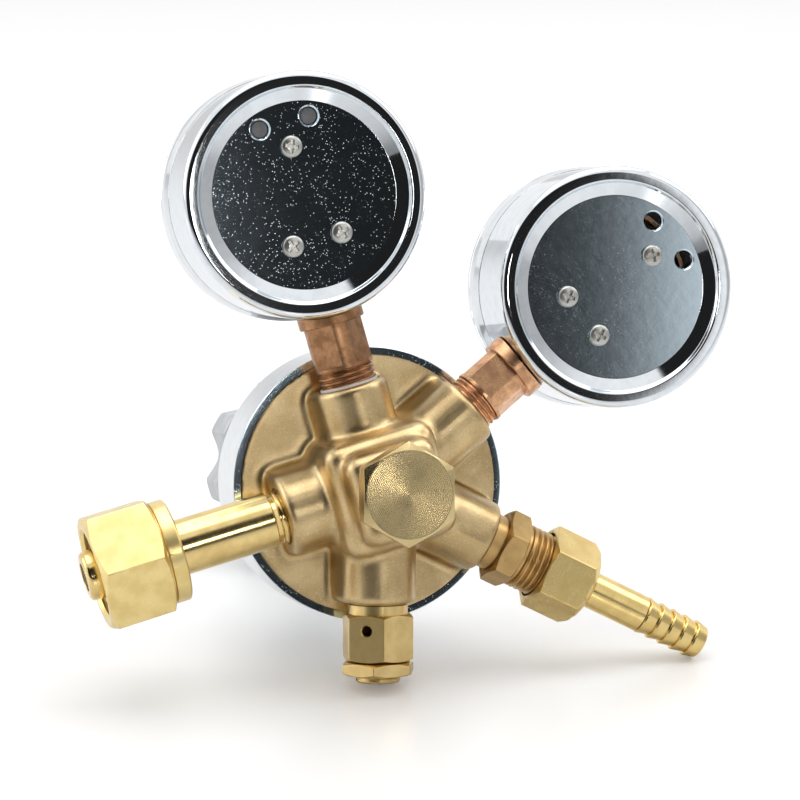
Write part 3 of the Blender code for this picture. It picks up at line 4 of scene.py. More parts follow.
import bmesh
import bpy
import numpy as np
from mathutils import Matrix, Vector
from mathutils.geometry import intersect_line_line


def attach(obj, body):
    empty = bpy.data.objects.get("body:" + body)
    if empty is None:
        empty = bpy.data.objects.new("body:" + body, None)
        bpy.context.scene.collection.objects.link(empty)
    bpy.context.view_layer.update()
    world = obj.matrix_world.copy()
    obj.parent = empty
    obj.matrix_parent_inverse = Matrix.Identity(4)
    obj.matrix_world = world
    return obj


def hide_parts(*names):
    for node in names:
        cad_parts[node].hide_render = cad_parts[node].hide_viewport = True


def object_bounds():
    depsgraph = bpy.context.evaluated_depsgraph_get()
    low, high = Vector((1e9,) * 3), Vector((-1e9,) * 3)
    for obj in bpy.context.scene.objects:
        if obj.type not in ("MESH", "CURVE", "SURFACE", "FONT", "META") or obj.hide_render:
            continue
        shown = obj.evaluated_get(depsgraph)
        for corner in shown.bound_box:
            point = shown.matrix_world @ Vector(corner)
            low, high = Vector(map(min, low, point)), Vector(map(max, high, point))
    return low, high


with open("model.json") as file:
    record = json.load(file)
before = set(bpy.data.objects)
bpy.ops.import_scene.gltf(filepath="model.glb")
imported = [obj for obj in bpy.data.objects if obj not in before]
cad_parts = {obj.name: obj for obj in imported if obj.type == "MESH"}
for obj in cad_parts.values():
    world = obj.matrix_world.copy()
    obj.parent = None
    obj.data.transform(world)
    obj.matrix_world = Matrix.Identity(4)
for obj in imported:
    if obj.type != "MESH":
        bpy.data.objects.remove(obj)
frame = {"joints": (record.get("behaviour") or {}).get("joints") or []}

cad_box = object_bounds()


# Forging. One hot brass forging: a round flange, a square core with a pad on its back, and five bosses, one
# for each port. It is sandblasted, then its ports, its pad and the chamber under the diaphragm are machined.
# Its middle is where the screw's line meets the inlet's. Each piece is made in millimetres on its own axis.
MM = 0.001
joints = {row["name"]: row for row in frame["joints"]}
screw_place = Vector(joints["knob_turn"]["pos_m"])
knob_way = -Vector(joints["knob_turn"]["axis"]).normalized()
inlet_place = Vector(joints["inlet_nut_turn"]["pos_m"])
inlet_way = Vector(joints["inlet_nut_turn"]["axis"])
outlet_way = Vector(joints["union_nut_turn"]["axis"])
relief_way = Vector(joints["relief_poppet_slide"]["axis"])
middle = intersect_line_line(screw_place, screw_place + knob_way, inlet_place, inlet_place + inlet_way)[0]


def set_out(origin, along, beside):
    """A frame with its Z along one line and its Y beside it."""
    z = along.normalized()
    x = beside.cross(z).normalized()
    return Matrix.Translation(origin) @ Matrix((x, z.cross(x), z)).transposed().to_4x4()


main_axis = set_out(middle, knob_way, relief_way)
inlet_port = set_out(middle, inlet_way, knob_way)
outlet_port = set_out(middle, outlet_way, knob_way)
relief_port = set_out(middle, relief_way, knob_way)
gauge_centres = {name: Vector(joints[name + "_pointer_turn"]["pos_m"]) for name in ("inlet", "outlet")}
gauge_ways = {}
for name, centre in gauge_centres.items():
    across = centre - middle
    gauge_ways[name] = (across - knob_way * across.dot(knob_way)).normalized()
gauge_ports = {name: set_out(middle, way, knob_way) for name, way in gauge_ways.items()}

FLANGE_RADIUS = 32.0
FLANGE_BACK = 9.0
FLANGE_FRONT = 17.2
CHAMBER_RADIUS = 23.5
CHAMBER_FLOOR = 12.5
CORE_SIDE = 28.0
CORE_BACK = -16.5
PAD_SIDE = 22.3
PAD_BACK = -24.5
FORGING_TURN = -16.0
BORE_BOTTOM = 14.0
PORT_CLEARANCE = 0.25
PORT_MOUTH = 0.5
MACHINING_ALLOWANCE = 0.6
FILLET_ROUNDS = 22


class Socket:
    """A socket of a node tree. A sum written on it adds Math nodes, and make() adds any other node."""

    def __init__(self, tree, source=None):
        self.tree = tree
        self.source = source

    def make(self, kind, settings=None, values=None, output=0):
        node = self.tree.nodes.new(kind)
        for key, setting in (settings or {}).items():
            setattr(node, key, setting)
        for key, value in (values or {}).items():
            if isinstance(value, Socket):
                self.tree.links.new(value.source, node.inputs[key])
            else:
                node.inputs[key].default_value = value
        return Socket(self.tree, node.outputs[output])

    def beside(self, output):
        """Another output of the same node."""
        return Socket(self.tree, self.source.node.outputs[output])

    def math(self, operation, *terms):
        return self.make("ShaderNodeMath", {"operation": operation}, dict(enumerate(terms)))

    def __add__(self, other):
        return self.math("ADD", self, other)

    __radd__ = __add__

    def __sub__(self, other):
        return self.math("SUBTRACT", self, other)

    def __rsub__(self, other):
        return self.math("SUBTRACT", other, self)

    def __mul__(self, other):
        return self.math("MULTIPLY", self, other)

    __rmul__ = __mul__

    def __truediv__(self, other):
        return self.math("DIVIDE", self, other)

    def __gt__(self, other):
        return self.math("GREATER_THAN", self, other)


def fade(value, low, high):
    """A smooth step from 0 at one level to 1 at another."""
    levels = {"Value": value, "From Min": low, "From Max": high}
    return value.make("ShaderNodeMapRange", {"interpolation_type": "SMOOTHSTEP"}, levels)


def blend(factor, first, second):
    """One colour passing into another."""
    first = (*first, 1.0) if isinstance(first, tuple) else first
    second = (*second, 1.0) if isinstance(second, tuple) else second
    return factor.make("ShaderNodeMix", {"data_type": "RGBA"}, {0: factor, 6: first, 7: second}, 2)


def noise(point, scale, detail=2.0, roughness=0.5):
    """Cloudy noise between about 0.3 and 0.7, with its scale in features per millimetre."""
    levels = {"Vector": point, "Scale": scale, "Detail": detail, "Roughness": roughness}
    return point.make("ShaderNodeTexNoise", None, levels)


class Finish:
    """A material on one piece, with the piece's own coordinates in millimetres as its point."""

    def __init__(self, name, place, **levels):
        self.material = bpy.data.materials.new(name)
        self.material.use_nodes = True
        self.tree = self.material.node_tree
        self.shader = self.tree.nodes["Principled BSDF"]
        for level, value in levels.items():
            self.shader.inputs[level.replace("_", " ")].default_value = value
        inverse = place.inverted()
        start = Socket(self.tree).make("ShaderNodeTexCoord", output="Object")
        turn = {
            "Vector": start,
            "Location": inverse.translation / MM,
            "Rotation": inverse.to_euler(),
            "Scale": (1 / MM, 1 / MM, 1 / MM),
        }
        self.point = start.make("ShaderNodeMapping", {"vector_type": "POINT"}, turn)
        self.x = self.point.make("ShaderNodeSeparateXYZ", None, {0: self.point})
        self.y = self.x.beside(1)
        self.z = self.x.beside(2)
        self.radius = (self.x * self.x + self.y * self.y).math("SQRT", self.x * self.x + self.y * self.y)

    def give(self, level, value):
        self.tree.links.new(value.source, self.shader.inputs[level])

    def raise_by(self, height, micrometres):
        """Bumps of the height's full range."""
        values = {"Height": height, "Distance": micrometres * 0.001 * MM, "Strength": 1.0}
        self.give("Normal", height.make("ShaderNodeBump", None, values))

    def grooves(self, fineness):
        """The marks that a tool leaves round a turned piece."""
        rounds = {0: self.radius * fineness, 1: self.z * fineness, 2: self.x * 0.02}
        return noise(self.point.make("ShaderNodeCombineXYZ", None, rounds), 1.0, 3.0, 0.7)

    def drawn(self, *scales):
        """The point with each axis scaled, for marks that are longer one way."""
        return self.point.make("ShaderNodeVectorMath", {"operation": "MULTIPLY"}, {0: self.point, 1: scales})


def forged_brass():
    made = Finish("forged_brass", main_axis, Metallic=1.0)
    patches = noise(made.point, 0.12, 3.0)
    blast = noise(made.point, 2.4, 3.0, 0.7)
    fine = noise(made.point, 6.0, 1.0)
    colour = blend(fade(patches, 0.36, 0.66), (0.52, 0.375, 0.185), (0.67, 0.505, 0.27))
    # Painted sparkle and painted shade: the sandblast grain's raised points are painted lighter and its
    # hollows painted darker.
    colour = blend(fade(blast, 0.56, 0.72) * 0.6, colour, (0.90, 0.78, 0.54))
    colour = blend(fade(blast, 0.42, 0.30) * 0.5, colour, (0.30, 0.22, 0.11))
    made.give("Base Color", colour)
    made.give("Roughness", 0.22 + 0.18 * blast + 0.05 * patches)
    made.raise_by(blast + 0.4 * fine, 24.0)
    return made.material


def rounded(corners, closed):
    """Outline points, with an arc in place of each corner of (radius, height, rounding) that is rounded."""
    made = []
    for index, (radius, height, rounding) in enumerate(corners):
        here = Vector((radius, height))
        last = index == len(corners) - 1
        if rounding == 0 or (not closed and (index == 0 or last)):
            made.append(here)
            continue
        before = Vector(corners[index - 1][:2]) - here
        after = Vector(corners[0 if last else index + 1][:2]) - here
        steps = 3 if rounding < 0.4 else 6 if rounding < 2 else 12
        if min(before.length, after.length) < 1e-6:
            made += [here] * (steps + 1)
            continue
        turn = math.pi - before.angle(after)
        back = min(rounding * math.tan(turn / 2), before.length * 0.48, after.length * 0.48)
        first = here + before.normalized() * back
        second = here + after.normalized() * back
        pull = math.cos(turn / 2)
        for step in range(steps + 1):
            t = step / steps
            weights = ((1 - t) ** 2, 2 * t * (1 - t) * pull, t ** 2)
            made.append((first * weights[0] + here * weights[1] + second * weights[2]) / sum(weights))
    return made


def milled(corners, limit):
    """The outline where a flat cuts it off at one radius."""
    made = []
    for index, (radius, height, rounding) in enumerate(corners):
        if radius > limit:
            neighbours = (corners[index - 1], corners[(index + 1) % len(corners)])
            inside = [corner for corner in neighbours if corner[0] <= limit]
            if inside:
                share = (limit - inside[0][0]) / (radius - inside[0][0])
                height = inside[0][1] + (height - inside[0][1]) * share
            radius = limit
        made.append((radius, height, rounding))
    return made


def round_bar(steps):
    return [(math.tau * step / steps, math.inf) for step in range(steps)]


def hexagon_bar(flats, turn, edge=0.3, steps=14):
    """Angles round a hexagon bar and its radius at each, with slightly rounded corners."""
    half = flats / 2
    centre = (half - edge) / math.cos(math.pi / 6)
    tangent = math.atan2(edge / 2, centre + edge * math.cos(math.pi / 6))
    span = math.pi / 3 - 2 * tangent
    made = []
    for side in range(6):
        facing = math.radians(turn) + side * math.pi / 3
        offsets = [-math.pi / 6, -math.pi / 6 + tangent / 2]
        offsets += [-math.pi / 6 + tangent + span * step / steps for step in range(steps + 1)]
        offsets += [math.pi / 6 - tangent / 2]
        for offset in offsets:
            corner = math.pi / 6 - abs(offset)
            if corner < tangent - 1e-6:
                radius = centre * math.cos(corner)
                radius += math.sqrt(edge ** 2 - (centre * math.sin(corner)) ** 2)
            else:
                radius = half / math.cos(offset)
            made.append((facing + offset, radius))
    return made


def finished_mesh(bm):
    bmesh.ops.remove_doubles(bm, verts=bm.verts, dist=1e-5)
    bmesh.ops.recalc_face_normals(bm, faces=bm.faces)
    mesh = bpy.data.meshes.new("mesh")
    bm.to_mesh(mesh)
    bm.free()
    return mesh


def turned(outline, bar=None):
    """A bar turned to corners of (radius, height, rounding), closed on its axis or as a ring."""
    corners = [corner if len(corner) == 3 else (*corner, 0) for corner in outline]
    closed = corners[0][0] > 0
    bar = bar or round_bar(120)
    bm = bmesh.new()
    columns = []
    for angle, limit in bar:
        points = rounded(milled(corners, limit), closed)
        columns.append([bm.verts.new((r * math.cos(angle), r * math.sin(angle), z)) for r, z in points])
    count = len(columns[0])
    for index, column in enumerate(columns):
        follower = columns[(index + 1) % len(columns)]
        for low in range(count if closed else count - 1):
            high = (low + 1) % count
            bm.faces.new((column[low], column[high], follower[high], follower[low]))
    return finished_mesh(bm)


def worked(mesh, *steps):
    """The mesh after some modifiers, each given as its kind and its settings."""
    work = bpy.data.objects.new("work", mesh)
    bpy.context.scene.collection.objects.link(work)
    for kind, settings in steps:
        modifier = work.modifiers.new(kind, kind)
        for key, value in settings.items():
            setattr(modifier, key, value)
    made = bpy.data.meshes.new_from_object(work.evaluated_get(bpy.context.evaluated_depsgraph_get()))
    bpy.data.objects.remove(work)
    return made


def carved(mesh, tools, operation="DIFFERENCE"):
    """The mesh with other meshes cut from it, joined to it, or kept in common with it."""
    helpers = [bpy.data.objects.new("tool", tool) for tool in tools]
    steps = []
    for helper in helpers:
        bpy.context.scene.collection.objects.link(helper)
        steps.append(("BOOLEAN", {"operation": operation, "object": helper, "solver": "MANIFOLD"}))
    made = worked(mesh, *steps)
    for helper in helpers:
        bpy.data.objects.remove(helper)
    return made


def block(size, centre, edge=0.0, segments=3, turn=0.0, outline=None):
    """A box, or an outline drawn in XY and raised, with its edges rounded."""
    bm = bmesh.new()
    if outline:
        low = centre[2] - size[2] / 2
        face = bm.faces.new([bm.verts.new((x, y, low)) for x, y in outline])
        raised = bmesh.ops.extrude_face_region(bm, geom=[face])["geom"]
        top = [item for item in raised if isinstance(item, bmesh.types.BMVert)]
        bmesh.ops.translate(bm, vec=(0, 0, size[2]), verts=top)
    else:
        bmesh.ops.create_cube(bm, size=1)
        bmesh.ops.scale(bm, vec=size, verts=bm.verts)
    if edge:
        sharp = [item for item in bm.edges if item.calc_face_angle() > math.radians(40)]
        bmesh.ops.bevel(bm, geom=sharp, offset=edge, segments=segments, profile=0.5, affect="EDGES")
    if not outline:
        spin = Matrix.Rotation(math.radians(turn), 3, "Z")
        bmesh.ops.rotate(bm, cent=(0, 0, 0), matrix=spin, verts=bm.verts)
        bmesh.ops.translate(bm, vec=centre, verts=bm.verts)
    bmesh.ops.recalc_face_normals(bm, faces=bm.faces)
    mesh = bpy.data.meshes.new("block")
    bm.to_mesh(mesh)
    bm.free()
    return mesh


def moved(mesh, from_place, to_place):
    """A mesh made in one frame, in millimetres, carried over to another."""
    scale = Matrix.Scale(MM, 4)
    mesh.transform((to_place @ scale).inverted() @ from_place @ scale)
    return mesh


def joined(meshes):
    bm = bmesh.new()
    for mesh in meshes:
        bm.from_mesh(mesh)
    made = bpy.data.meshes.new("joined")
    bm.to_mesh(made)
    bm.free()
    return made


def piece(name, mesh, place, finish, body, slot, nodes, sharp=12.0):
    """A finished piece in its place, on its body, standing for CAD nodes."""
    mesh.transform(place @ Matrix.Scale(MM, 4))
    mesh.materials.clear()
    mesh.materials.append(finish)
    mesh.shade_smooth()
    mesh.set_sharp_from_angle(angle=math.radians(sharp))
    mesh = worked(mesh, ("WEIGHTED_NORMAL", {"keep_sharp": True}))
    mesh.name = name
    made = bpy.data.objects.new(name, mesh)
    bpy.context.scene.collection.objects.link(made)
    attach(made, body)
    if nodes:
        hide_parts(*nodes)


def fill_hollows(mesh, rounds):
    """Runs a fillet into every inside corner, as a forging die has, and leaves the outside corners."""
    points = np.empty(len(mesh.vertices) * 3)
    mesh.vertices.foreach_get("co", points)
    points = points.reshape(-1, 3)
    ends = np.empty(len(mesh.edges) * 2, dtype=np.int32)
    mesh.edges.foreach_get("vertices", ends)
    first, second = ends.reshape(-1, 2).T
    count = np.bincount(ends, minlength=len(points))[:, None]
    normals = np.empty(len(mesh.vertices) * 3)
    for _ in range(rounds):
        mesh.vertices.foreach_get("normal", normals)
        outwards = normals.reshape(-1, 3)
        total = np.zeros_like(points)
        np.add.at(total, first, points[second])
        np.add.at(total, second, points[first])
        shift = total / count - points
        rise = (shift * outwards).sum(axis=1, keepdims=True)
        points += shift * np.where(rise > 0.002, 0.9, 0.0)
        mesh.vertices.foreach_set("co", points.ravel())
        mesh.update()


def boss(radius, end):
    """A forged boss: round towards the plug, with straight drafted sides down to the flange."""
    draft = 0.6
    foot = FLANGE_BACK + 2.0
    angles = [math.radians(180 + 10 * step) for step in range(19)]
    outline = [(radius * math.cos(angle), radius * math.sin(angle)) for angle in angles]
    outline += [(radius + draft, foot), (-radius - draft, foot)]
    low = 4.0
    return block((0, 0, end - low), (0, 0, (low + end) / 2), 1.6, 4, outline=outline)


# Each port's axis, its boss's radius and end, and its hole's radius.
ports = (
    (inlet_port, 10.2, 25.0, 6.6),
    (gauge_ports["inlet"], 9.1, 26.0, 6.95),
    (gauge_ports["outlet"], 9.0, 30.0, 6.95),
    (outlet_port, 9.0, 30.3, 7.0),
    (relief_port, 9.3, 28.5, 7.0),
)
raw_flange = turned(
    [
        (0, FLANGE_BACK - 0.1),
        (FLANGE_RADIUS + MACHINING_ALLOWANCE, FLANGE_BACK - 0.1, 0.4),
        (FLANGE_RADIUS + MACHINING_ALLOWANCE, FLANGE_FRONT + MACHINING_ALLOWANCE),
        (0, FLANGE_FRONT + MACHINING_ALLOWANCE),
    ]
)
core_depth = FLANGE_BACK + 3.0 - CORE_BACK
shapes = [
    raw_flange,
    block((CORE_SIDE, CORE_SIDE, core_depth), (0, 0, CORE_BACK + core_depth / 2), 4.0, 5, FORGING_TURN),
    block((PAD_SIDE, PAD_SIDE, -PAD_BACK), (0, 0, PAD_BACK / 2), 3.6, 5, FORGING_TURN),
]
cutters = []
for place, radius, end, hole in ports:
    shapes.append(moved(boss(radius, end), place, main_axis))
    wall = hole + PORT_CLEARANCE
    mouth = wall + PORT_MOUTH
    bore = [(0, BORE_BOTTOM), (wall, BORE_BOTTOM), (wall, end - PORT_MOUTH), (mouth, end + 0.05)]
    bore += [(mouth, end + 3), (0, end + 3)]
    cutters.append(moved(turned(bore, round_bar(72)), place, main_axis))
raw = worked(joined(shapes), ("REMESH", {"mode": "VOXEL", "voxel_size": 0.52}))
fill_hollows(raw, FILLET_ROUNDS)
raw = worked(raw, ("SMOOTH", {"factor": 0.5, "iterations": 3}))
machined = turned(
    [
        (0, PAD_BACK),
        (CORE_SIDE, PAD_BACK),
        (CORE_SIDE + 6, FLANGE_BACK - 0.2),
        (FLANGE_RADIUS, FLANGE_BACK - 0.2),
        (FLANGE_RADIUS, FLANGE_FRONT, 0.2),
        (0, FLANGE_FRONT),
    ]
)
valve_bore = turned(
    [
        (0, PAD_BACK - 1),
        (8.8, PAD_BACK - 1),
        (8.8, PAD_BACK + 12.3),
        (7.0, PAD_BACK + 12.3),
        (7.0, -6.0),
        (4.8, -6.0),
        (4.8, 6.3),
        (2.1, 6.3),
        (2.1, CHAMBER_FLOOR),
        (CHAMBER_RADIUS, CHAMBER_FLOOR, 0.5),
        (CHAMBER_RADIUS, FLANGE_FRONT + 1),
        (0, FLANGE_FRONT + 1),
    ],
    round_bar(96),
)
forging = carved(carved(raw, [machined], "INTERSECT"), [valve_bore, *cutters])
piece("forging", forging, main_axis, forged_brass(), "regulator", "forged_brass", ["body"], 35.0)


# Seat plug. A hexagon plug turned and milled from brass bar closes the back of the forging over the valve.
# Its face still carries the marks of the facing tool, and a flat copper ring seals it on the pad.
PLUG_SEAT = PAD_BACK - 1.6
PLUG_HEAD = 6.0
PLUG_FLATS = 21.8
MARK_SPACING = 0.14
MARK_HEIGHT = 0.015
HEX_CORNER = 1.1547  # a hexagon's radius at its corners, for half its width across flats
plug_face = PLUG_SEAT - PLUG_HEAD
plug_side = PLUG_FLATS / 2


def cut_brass(
    name, place, tint=(0.80, 0.60, 0.27), shade=(0.60, 0.42, 0.17), gloss=0.20, marks=6.0, fineness=9.0
):
    """Brass bar as the lathe left it: fine grooves, faint clouds and small pits."""
    made = Finish(name, place, Metallic=1.0)
    lines = made.grooves(fineness)
    clouds = noise(made.point, 0.22, 3.0)
    colour = blend(fade(clouds, 0.35, 0.70) * 0.6, tint, shade)
    colour = blend(fade(lines, 0.52, 0.75) * 0.45, colour, shade)
    pits = fade(noise(made.point, 1.3, 4.0, 0.75), 0.66, 0.71)
    colour = blend(pits * 0.6, colour, tuple(level * 0.45 for level in shade))
    made.give("Base Color", colour)
    made.give("Roughness", gloss + 0.14 * clouds + 0.08 * lines)
    made.raise_by(lines, marks)
    return made.material


facing_marks = []
for count in range(1, 74):
    height = MARK_HEIGHT + MARK_HEIGHT * math.sin(2.1 * count)
    facing_marks.append((MARK_SPACING * count, plug_face + height, 0))
plug = turned(
    [
        (0, plug_face),
        *facing_marks,
        (plug_side * 0.965, plug_face, 0.15),
        (plug_side * HEX_CORNER + 0.1, plug_face + 1.15, 0.12),
        (plug_side * HEX_CORNER + 0.1, PLUG_SEAT - 0.7, 0.12),
        (plug_side * 0.98, PLUG_SEAT, 0.12),
        (8.5, PLUG_SEAT),
        (8.5, PAD_BACK + 12, 0.3),
        (4.2, PAD_BACK + 12),
        (4.2, PAD_BACK + 4),
        (0, PAD_BACK + 4),
    ],
    hexagon_bar(PLUG_FLATS, 0),
)
plug_finish = cut_brass("plug_brass", main_axis, (0.66, 0.52, 0.27), (0.56, 0.43, 0.21), 0.12, 1.0, 2.0)
piece("seat_plug_head", plug, main_axis, plug_finish, "regulator", "turned_brass", ["seat_plug"], 27.0)
ring_back = PLUG_SEAT + 0.3
gasket = turned(
    [(8.8, ring_back, 0.2), (10.5, ring_back, 0.3), (10.5, ring_back + 1, 0.3), (8.8, ring_back + 1, 0.2)]
)
gasket_finish = cut_brass("gasket_copper", main_axis, (0.78, 0.42, 0.26), (0.55, 0.27, 0.15), 0.35)
piece("copper_gasket", gasket, main_axis, gasket_finish, "regulator", "copper", ["plug_gasket"])


# Bonnet. A spun and chromed cup screwed over the flange, with a rolled rim, a conical shoulder and the neck
# that carries the screw's thread. A small hole in the cone lets the space over the diaphragm breathe.
BONNET_RADIUS = 34.0
BONNET_BACK = 10.0


def chrome(name, place, tint=(0.80, 0.83, 0.86), gloss=0.06, dust=0.0, flat=None):
    """Bright chrome plate with fine wipe marks, and dust and pinholes where it lies flat, where its tint is
    also painted darker and bluer as a painted reflection.
    """
    made = Finish(name, place, Metallic=1.0)
    ripple = noise(made.point, 0.35, 2.0)
    wipes = noise(made.drawn(0.4, 6.0, 6.0), 1.0, 4.0, 0.7)
    colour = blend(fade(ripple, 0.35, 0.68), tint, tuple(c * 0.93 for c in tint))
    rough = gloss + 0.04 * wipes + 0.02 * ripple
    if flat:
        level = flat(made)
        # Painted reflection: where the plate lies flat, its tint is painted darker and bluer.
        colour = blend(level, colour, (0.62, 0.74, 0.82))
        cells = {"Vector": made.point, "Scale": 2.3}
        near = made.point.make("ShaderNodeTexVoronoi", {"voronoi_dimensions": "3D"}, cells)
        chosen = near.make("ShaderNodeSeparateColor", None, {0: near.beside("Color")})
        crowd = fade(noise(made.point, 0.13, 3.0, 0.6), 0.38, 0.62)
        glint = fade(chosen + 0.25 * crowd, 0.80, 1.12)
        specks = (1 - fade(near, 0.12, 0.34)) * glint * level * dust
        colour = blend(specks, colour, (0.95, 0.96, 0.97))
        made.give("Metallic", 1 - 0.85 * specks)
        rough = rough + 0.5 * specks + 0.12 * noise(made.point, 5.0) * (1 - dust) * level
    made.give("Base Color", colour)
    made.give("Roughness", rough)
    made.raise_by(ripple + 0.05 * wipes, 4.0)
    return made.material


bonnet = turned(
    [
        (32.1, BONNET_BACK, 0.06),
        (BONNET_RADIUS, BONNET_BACK, 0.22),
        (BONNET_RADIUS, 32.5, 6.0),
        (BONNET_RADIUS - 4.0, 36.2, 3.0),
        (14.7, 51.5, 2.5),
        (12.5, 53.4, 1.2),
        (12.5, 62.0, 0.8),
        (6.2, 62.0, 0.4),
        (6.2, 48.0),
        (12.0, 47.0),
        (12.0, 43.0),
        (28.0, 29.4),
        (28.0, 20.0),
        (32.1, 20.0),
    ],
    round_bar(160),
)


def drill(radius, start, end, steps):
    """A straight round tool."""
    return turned([(0, start), (radius, start), (radius, end), (0, end)], round_bar(steps))


def rim_face(made):
    """1 on the rim's flat rear face."""
    return 1 - fade(made.z, BONNET_BACK + 0.05, BONNET_BACK + 0.25)


breather = drill(1.5, 12, 40, 24)
breather.transform(Matrix.Translation((0, 0, 41.25)) @ Matrix.Rotation(math.radians(-90), 4, "X"))
bonnet = carved(bonnet, [breather])
bonnet_finish = chrome("bonnet_chrome", main_axis, dust=0.9, flat=rim_face)
piece("bonnet_cup", bonnet, main_axis, bonnet_finish, "regulator", "chrome_plate", ["bonnet"], 25.0)


# Regulating screw and knob. A steel screw with a cast grey hand knob: eight lobes, pinned on its hub by a
# grub screw, and closed by a black plastic cap.
KNOB_BACK = 84.5
KNOB_FRONT = 103.0
KNOB_RADIUS = 24.35
KNOB_DEPTH = 3.6
KNOB_PHASE = -151.2
KNOB_LOBES = 8
GRUB_PLACE = 81.0


def shaping_tree(name, sizes):
    """A node tree with a geometry, named sizes and a finish as its inputs, which moves points."""
    tree = bpy.data.node_groups.new(name, "GeometryNodeTree")
    tree.interface.new_socket("Geometry", in_out="INPUT", socket_type="NodeSocketGeometry")
    tree.interface.new_socket("Geometry", in_out="OUTPUT", socket_type="NodeSocketGeometry")
    for size in sizes:
        tree.interface.new_socket(size, in_out="INPUT", socket_type="NodeSocketFloat")
    tree.interface.new_socket("Finish", in_out="INPUT", socket_type="NodeSocketMaterial")
    entry = Socket(tree).make("NodeGroupInput")
    return tree, entry


def close_tree(tree, entry, geometry):
    """Ends a tree in plain geometry with its finish."""
    real = geometry.make("GeometryNodeRealizeInstances", None, {0: geometry})
    entries = {"Geometry": real, "Material": entry.beside("Finish")}
    dressed = real.make("GeometryNodeSetMaterial", None, entries)
    tree.links.new(dressed.source, tree.nodes.new("NodeGroupOutput").inputs[0])


def round_place(entry):
    """Each point's x, y and z, and its distance from the axis."""
    place = entry.make("GeometryNodeInputPosition")
    x = place.make("ShaderNodeSeparateXYZ", None, {0: place})
    y = x.beside(1)
    return x, y, x.beside(2), x.math("SQRT", x * x + y * y)


def press_in(tree, entry, x, y, radius, push):
    """Ends a tree that moves each point towards the axis."""
    way = x.make("ShaderNodeCombineXYZ", None, {0: x / radius, 1: y / radius})
    offset = x.make("ShaderNodeVectorMath", {"operation": "SCALE"}, {0: way, "Scale": push * -1.0})
    close_tree(tree, entry, x.make("GeometryNodeSetPosition", None, {"Geometry": entry, "Offset": offset}))
    return tree


def grown(tree, mesh, finish, **sizes):
    """The plain mesh that a node tree makes."""
    work = bpy.data.objects.new("work", mesh)
    bpy.context.scene.collection.objects.link(work)
    modifier = work.modifiers.new(tree.name, "NODES")
    modifier.node_group = tree
    for item in tree.interface.items_tree:
        if item.in_out == "INPUT" and item.name == "Finish":
            modifier[item.identifier] = finish
        if item.in_out == "INPUT" and item.name in sizes:
            modifier[item.identifier] = float(sizes[item.name])
    made = bpy.data.meshes.new_from_object(work.evaluated_get(bpy.context.evaluated_depsgraph_get()))
    bpy.data.objects.remove(work)
    return made


def lobes_tree():
    """Presses hollows into the rim of a turned blank."""
    sizes = ("Lobes", "Depth", "Crest", "Phase", "Hub", "Rim")
    tree, entry = shaping_tree("knob_lobes", sizes)
    lobes, depth, crest, phase, hub, rim = (entry.beside(size) for size in sizes)
    x, y, _, radius = round_place(entry)
    share = (x.math("ARCTAN2", y, x) - phase) / math.tau * lobes + 0.5
    away = 2 * x.math("ABSOLUTE", x.math("FRACT", share) - 0.5)
    hollow = x.math("SINE", math.pi / 2 * x.math("MAXIMUM", (away - crest) / (1 - crest), 0.0))
    return press_in(tree, entry, x, y, radius, hollow * depth * fade(radius, hub, rim))


def thread_tree():
    """Cuts a screw thread into a turned blank, as a die does."""
    sizes = ("Pitch", "Depth", "Start", "End", "Core")
    tree, entry = shaping_tree("thread", sizes)
    pitch, depth, start, end, core = (entry.beside(size) for size in sizes)
    x, y, z, radius = round_place(entry)
    turn = z / pitch - x.math("ARCTAN2", y, x) / math.tau
    away = 2 * x.math("ABSOLUTE", x.math("FRACT", turn) - 0.5)
    valley = fade(away, 0.22, 0.95)
    inside = fade(z, start, start + pitch * 0.7) * (1 - fade(z, end - pitch * 0.7, end)) * (radius > core)
    return press_in(tree, entry, x, y, radius, valley * depth * inside)


def barrel(radius, start, end, step=0.12):
    """A straight stretch of an outline with enough points for a thread."""
    count = round((end - start) / step)
    return [(radius, start + (end - start) * index / count, 0) for index in range(count + 1)]


def cast_grey():
    made = Finish("knob_grey", main_axis, Metallic=0.6)
    grain = noise(made.point, 2.6, 3.0, 0.6)
    clouds = noise(made.point, 0.15, 2.0)
    made.give("Base Color", blend(fade(clouds, 0.3, 0.7), (0.50, 0.52, 0.54), (0.60, 0.61, 0.63)))
    made.give("Roughness", 0.40 + 0.16 * grain)
    made.raise_by(grain, 14.0)
    return made.material


def steel(name, place, tint=(0.56, 0.57, 0.58)):
    made = Finish(name, place, Metallic=1.0)
    lines = made.grooves(10.0)
    made.give("Base Color", blend(fade(lines, 0.4, 0.7), tint, tuple(c * 0.8 for c in tint)))
    made.give("Roughness", 0.24 + 0.16 * lines)
    made.raise_by(lines, 5.0)
    return made.material


def black_plastic(name, place):
    made = Finish(name, place, Metallic=0.0)
    grain = noise(made.point, 4.0, 2.0)
    made.give("Base Color", blend(grain, (0.018, 0.018, 0.02), (0.035, 0.035, 0.037)))
    made.give("Roughness", 0.32 + 0.25 * grain)
    made.raise_by(grain, 8.0)
    return made.material


thread = thread_tree()
screw_start = 51.0
screw = turned(
    [(0, screw_start - 4.4), (3.9, screw_start - 4.4, 0.3), (5.9, screw_start - 2.4)]
    + barrel(5.9, screw_start, 80.0)
    + [(5.9, 97.0), (4.9, 98.0), (0, 98.0)],
    round_bar(72),
)
screw_finish = steel("screw_steel", main_axis)
screw = grown(thread, screw, screw_finish, Pitch=1.5, Depth=0.75, Start=screw_start, End=80.0, Core=3.0)
piece(
    "regulating_screw", screw, main_axis, screw_finish, "adjusting_knob", "steel", ["adjusting_screw"], 40.0
)

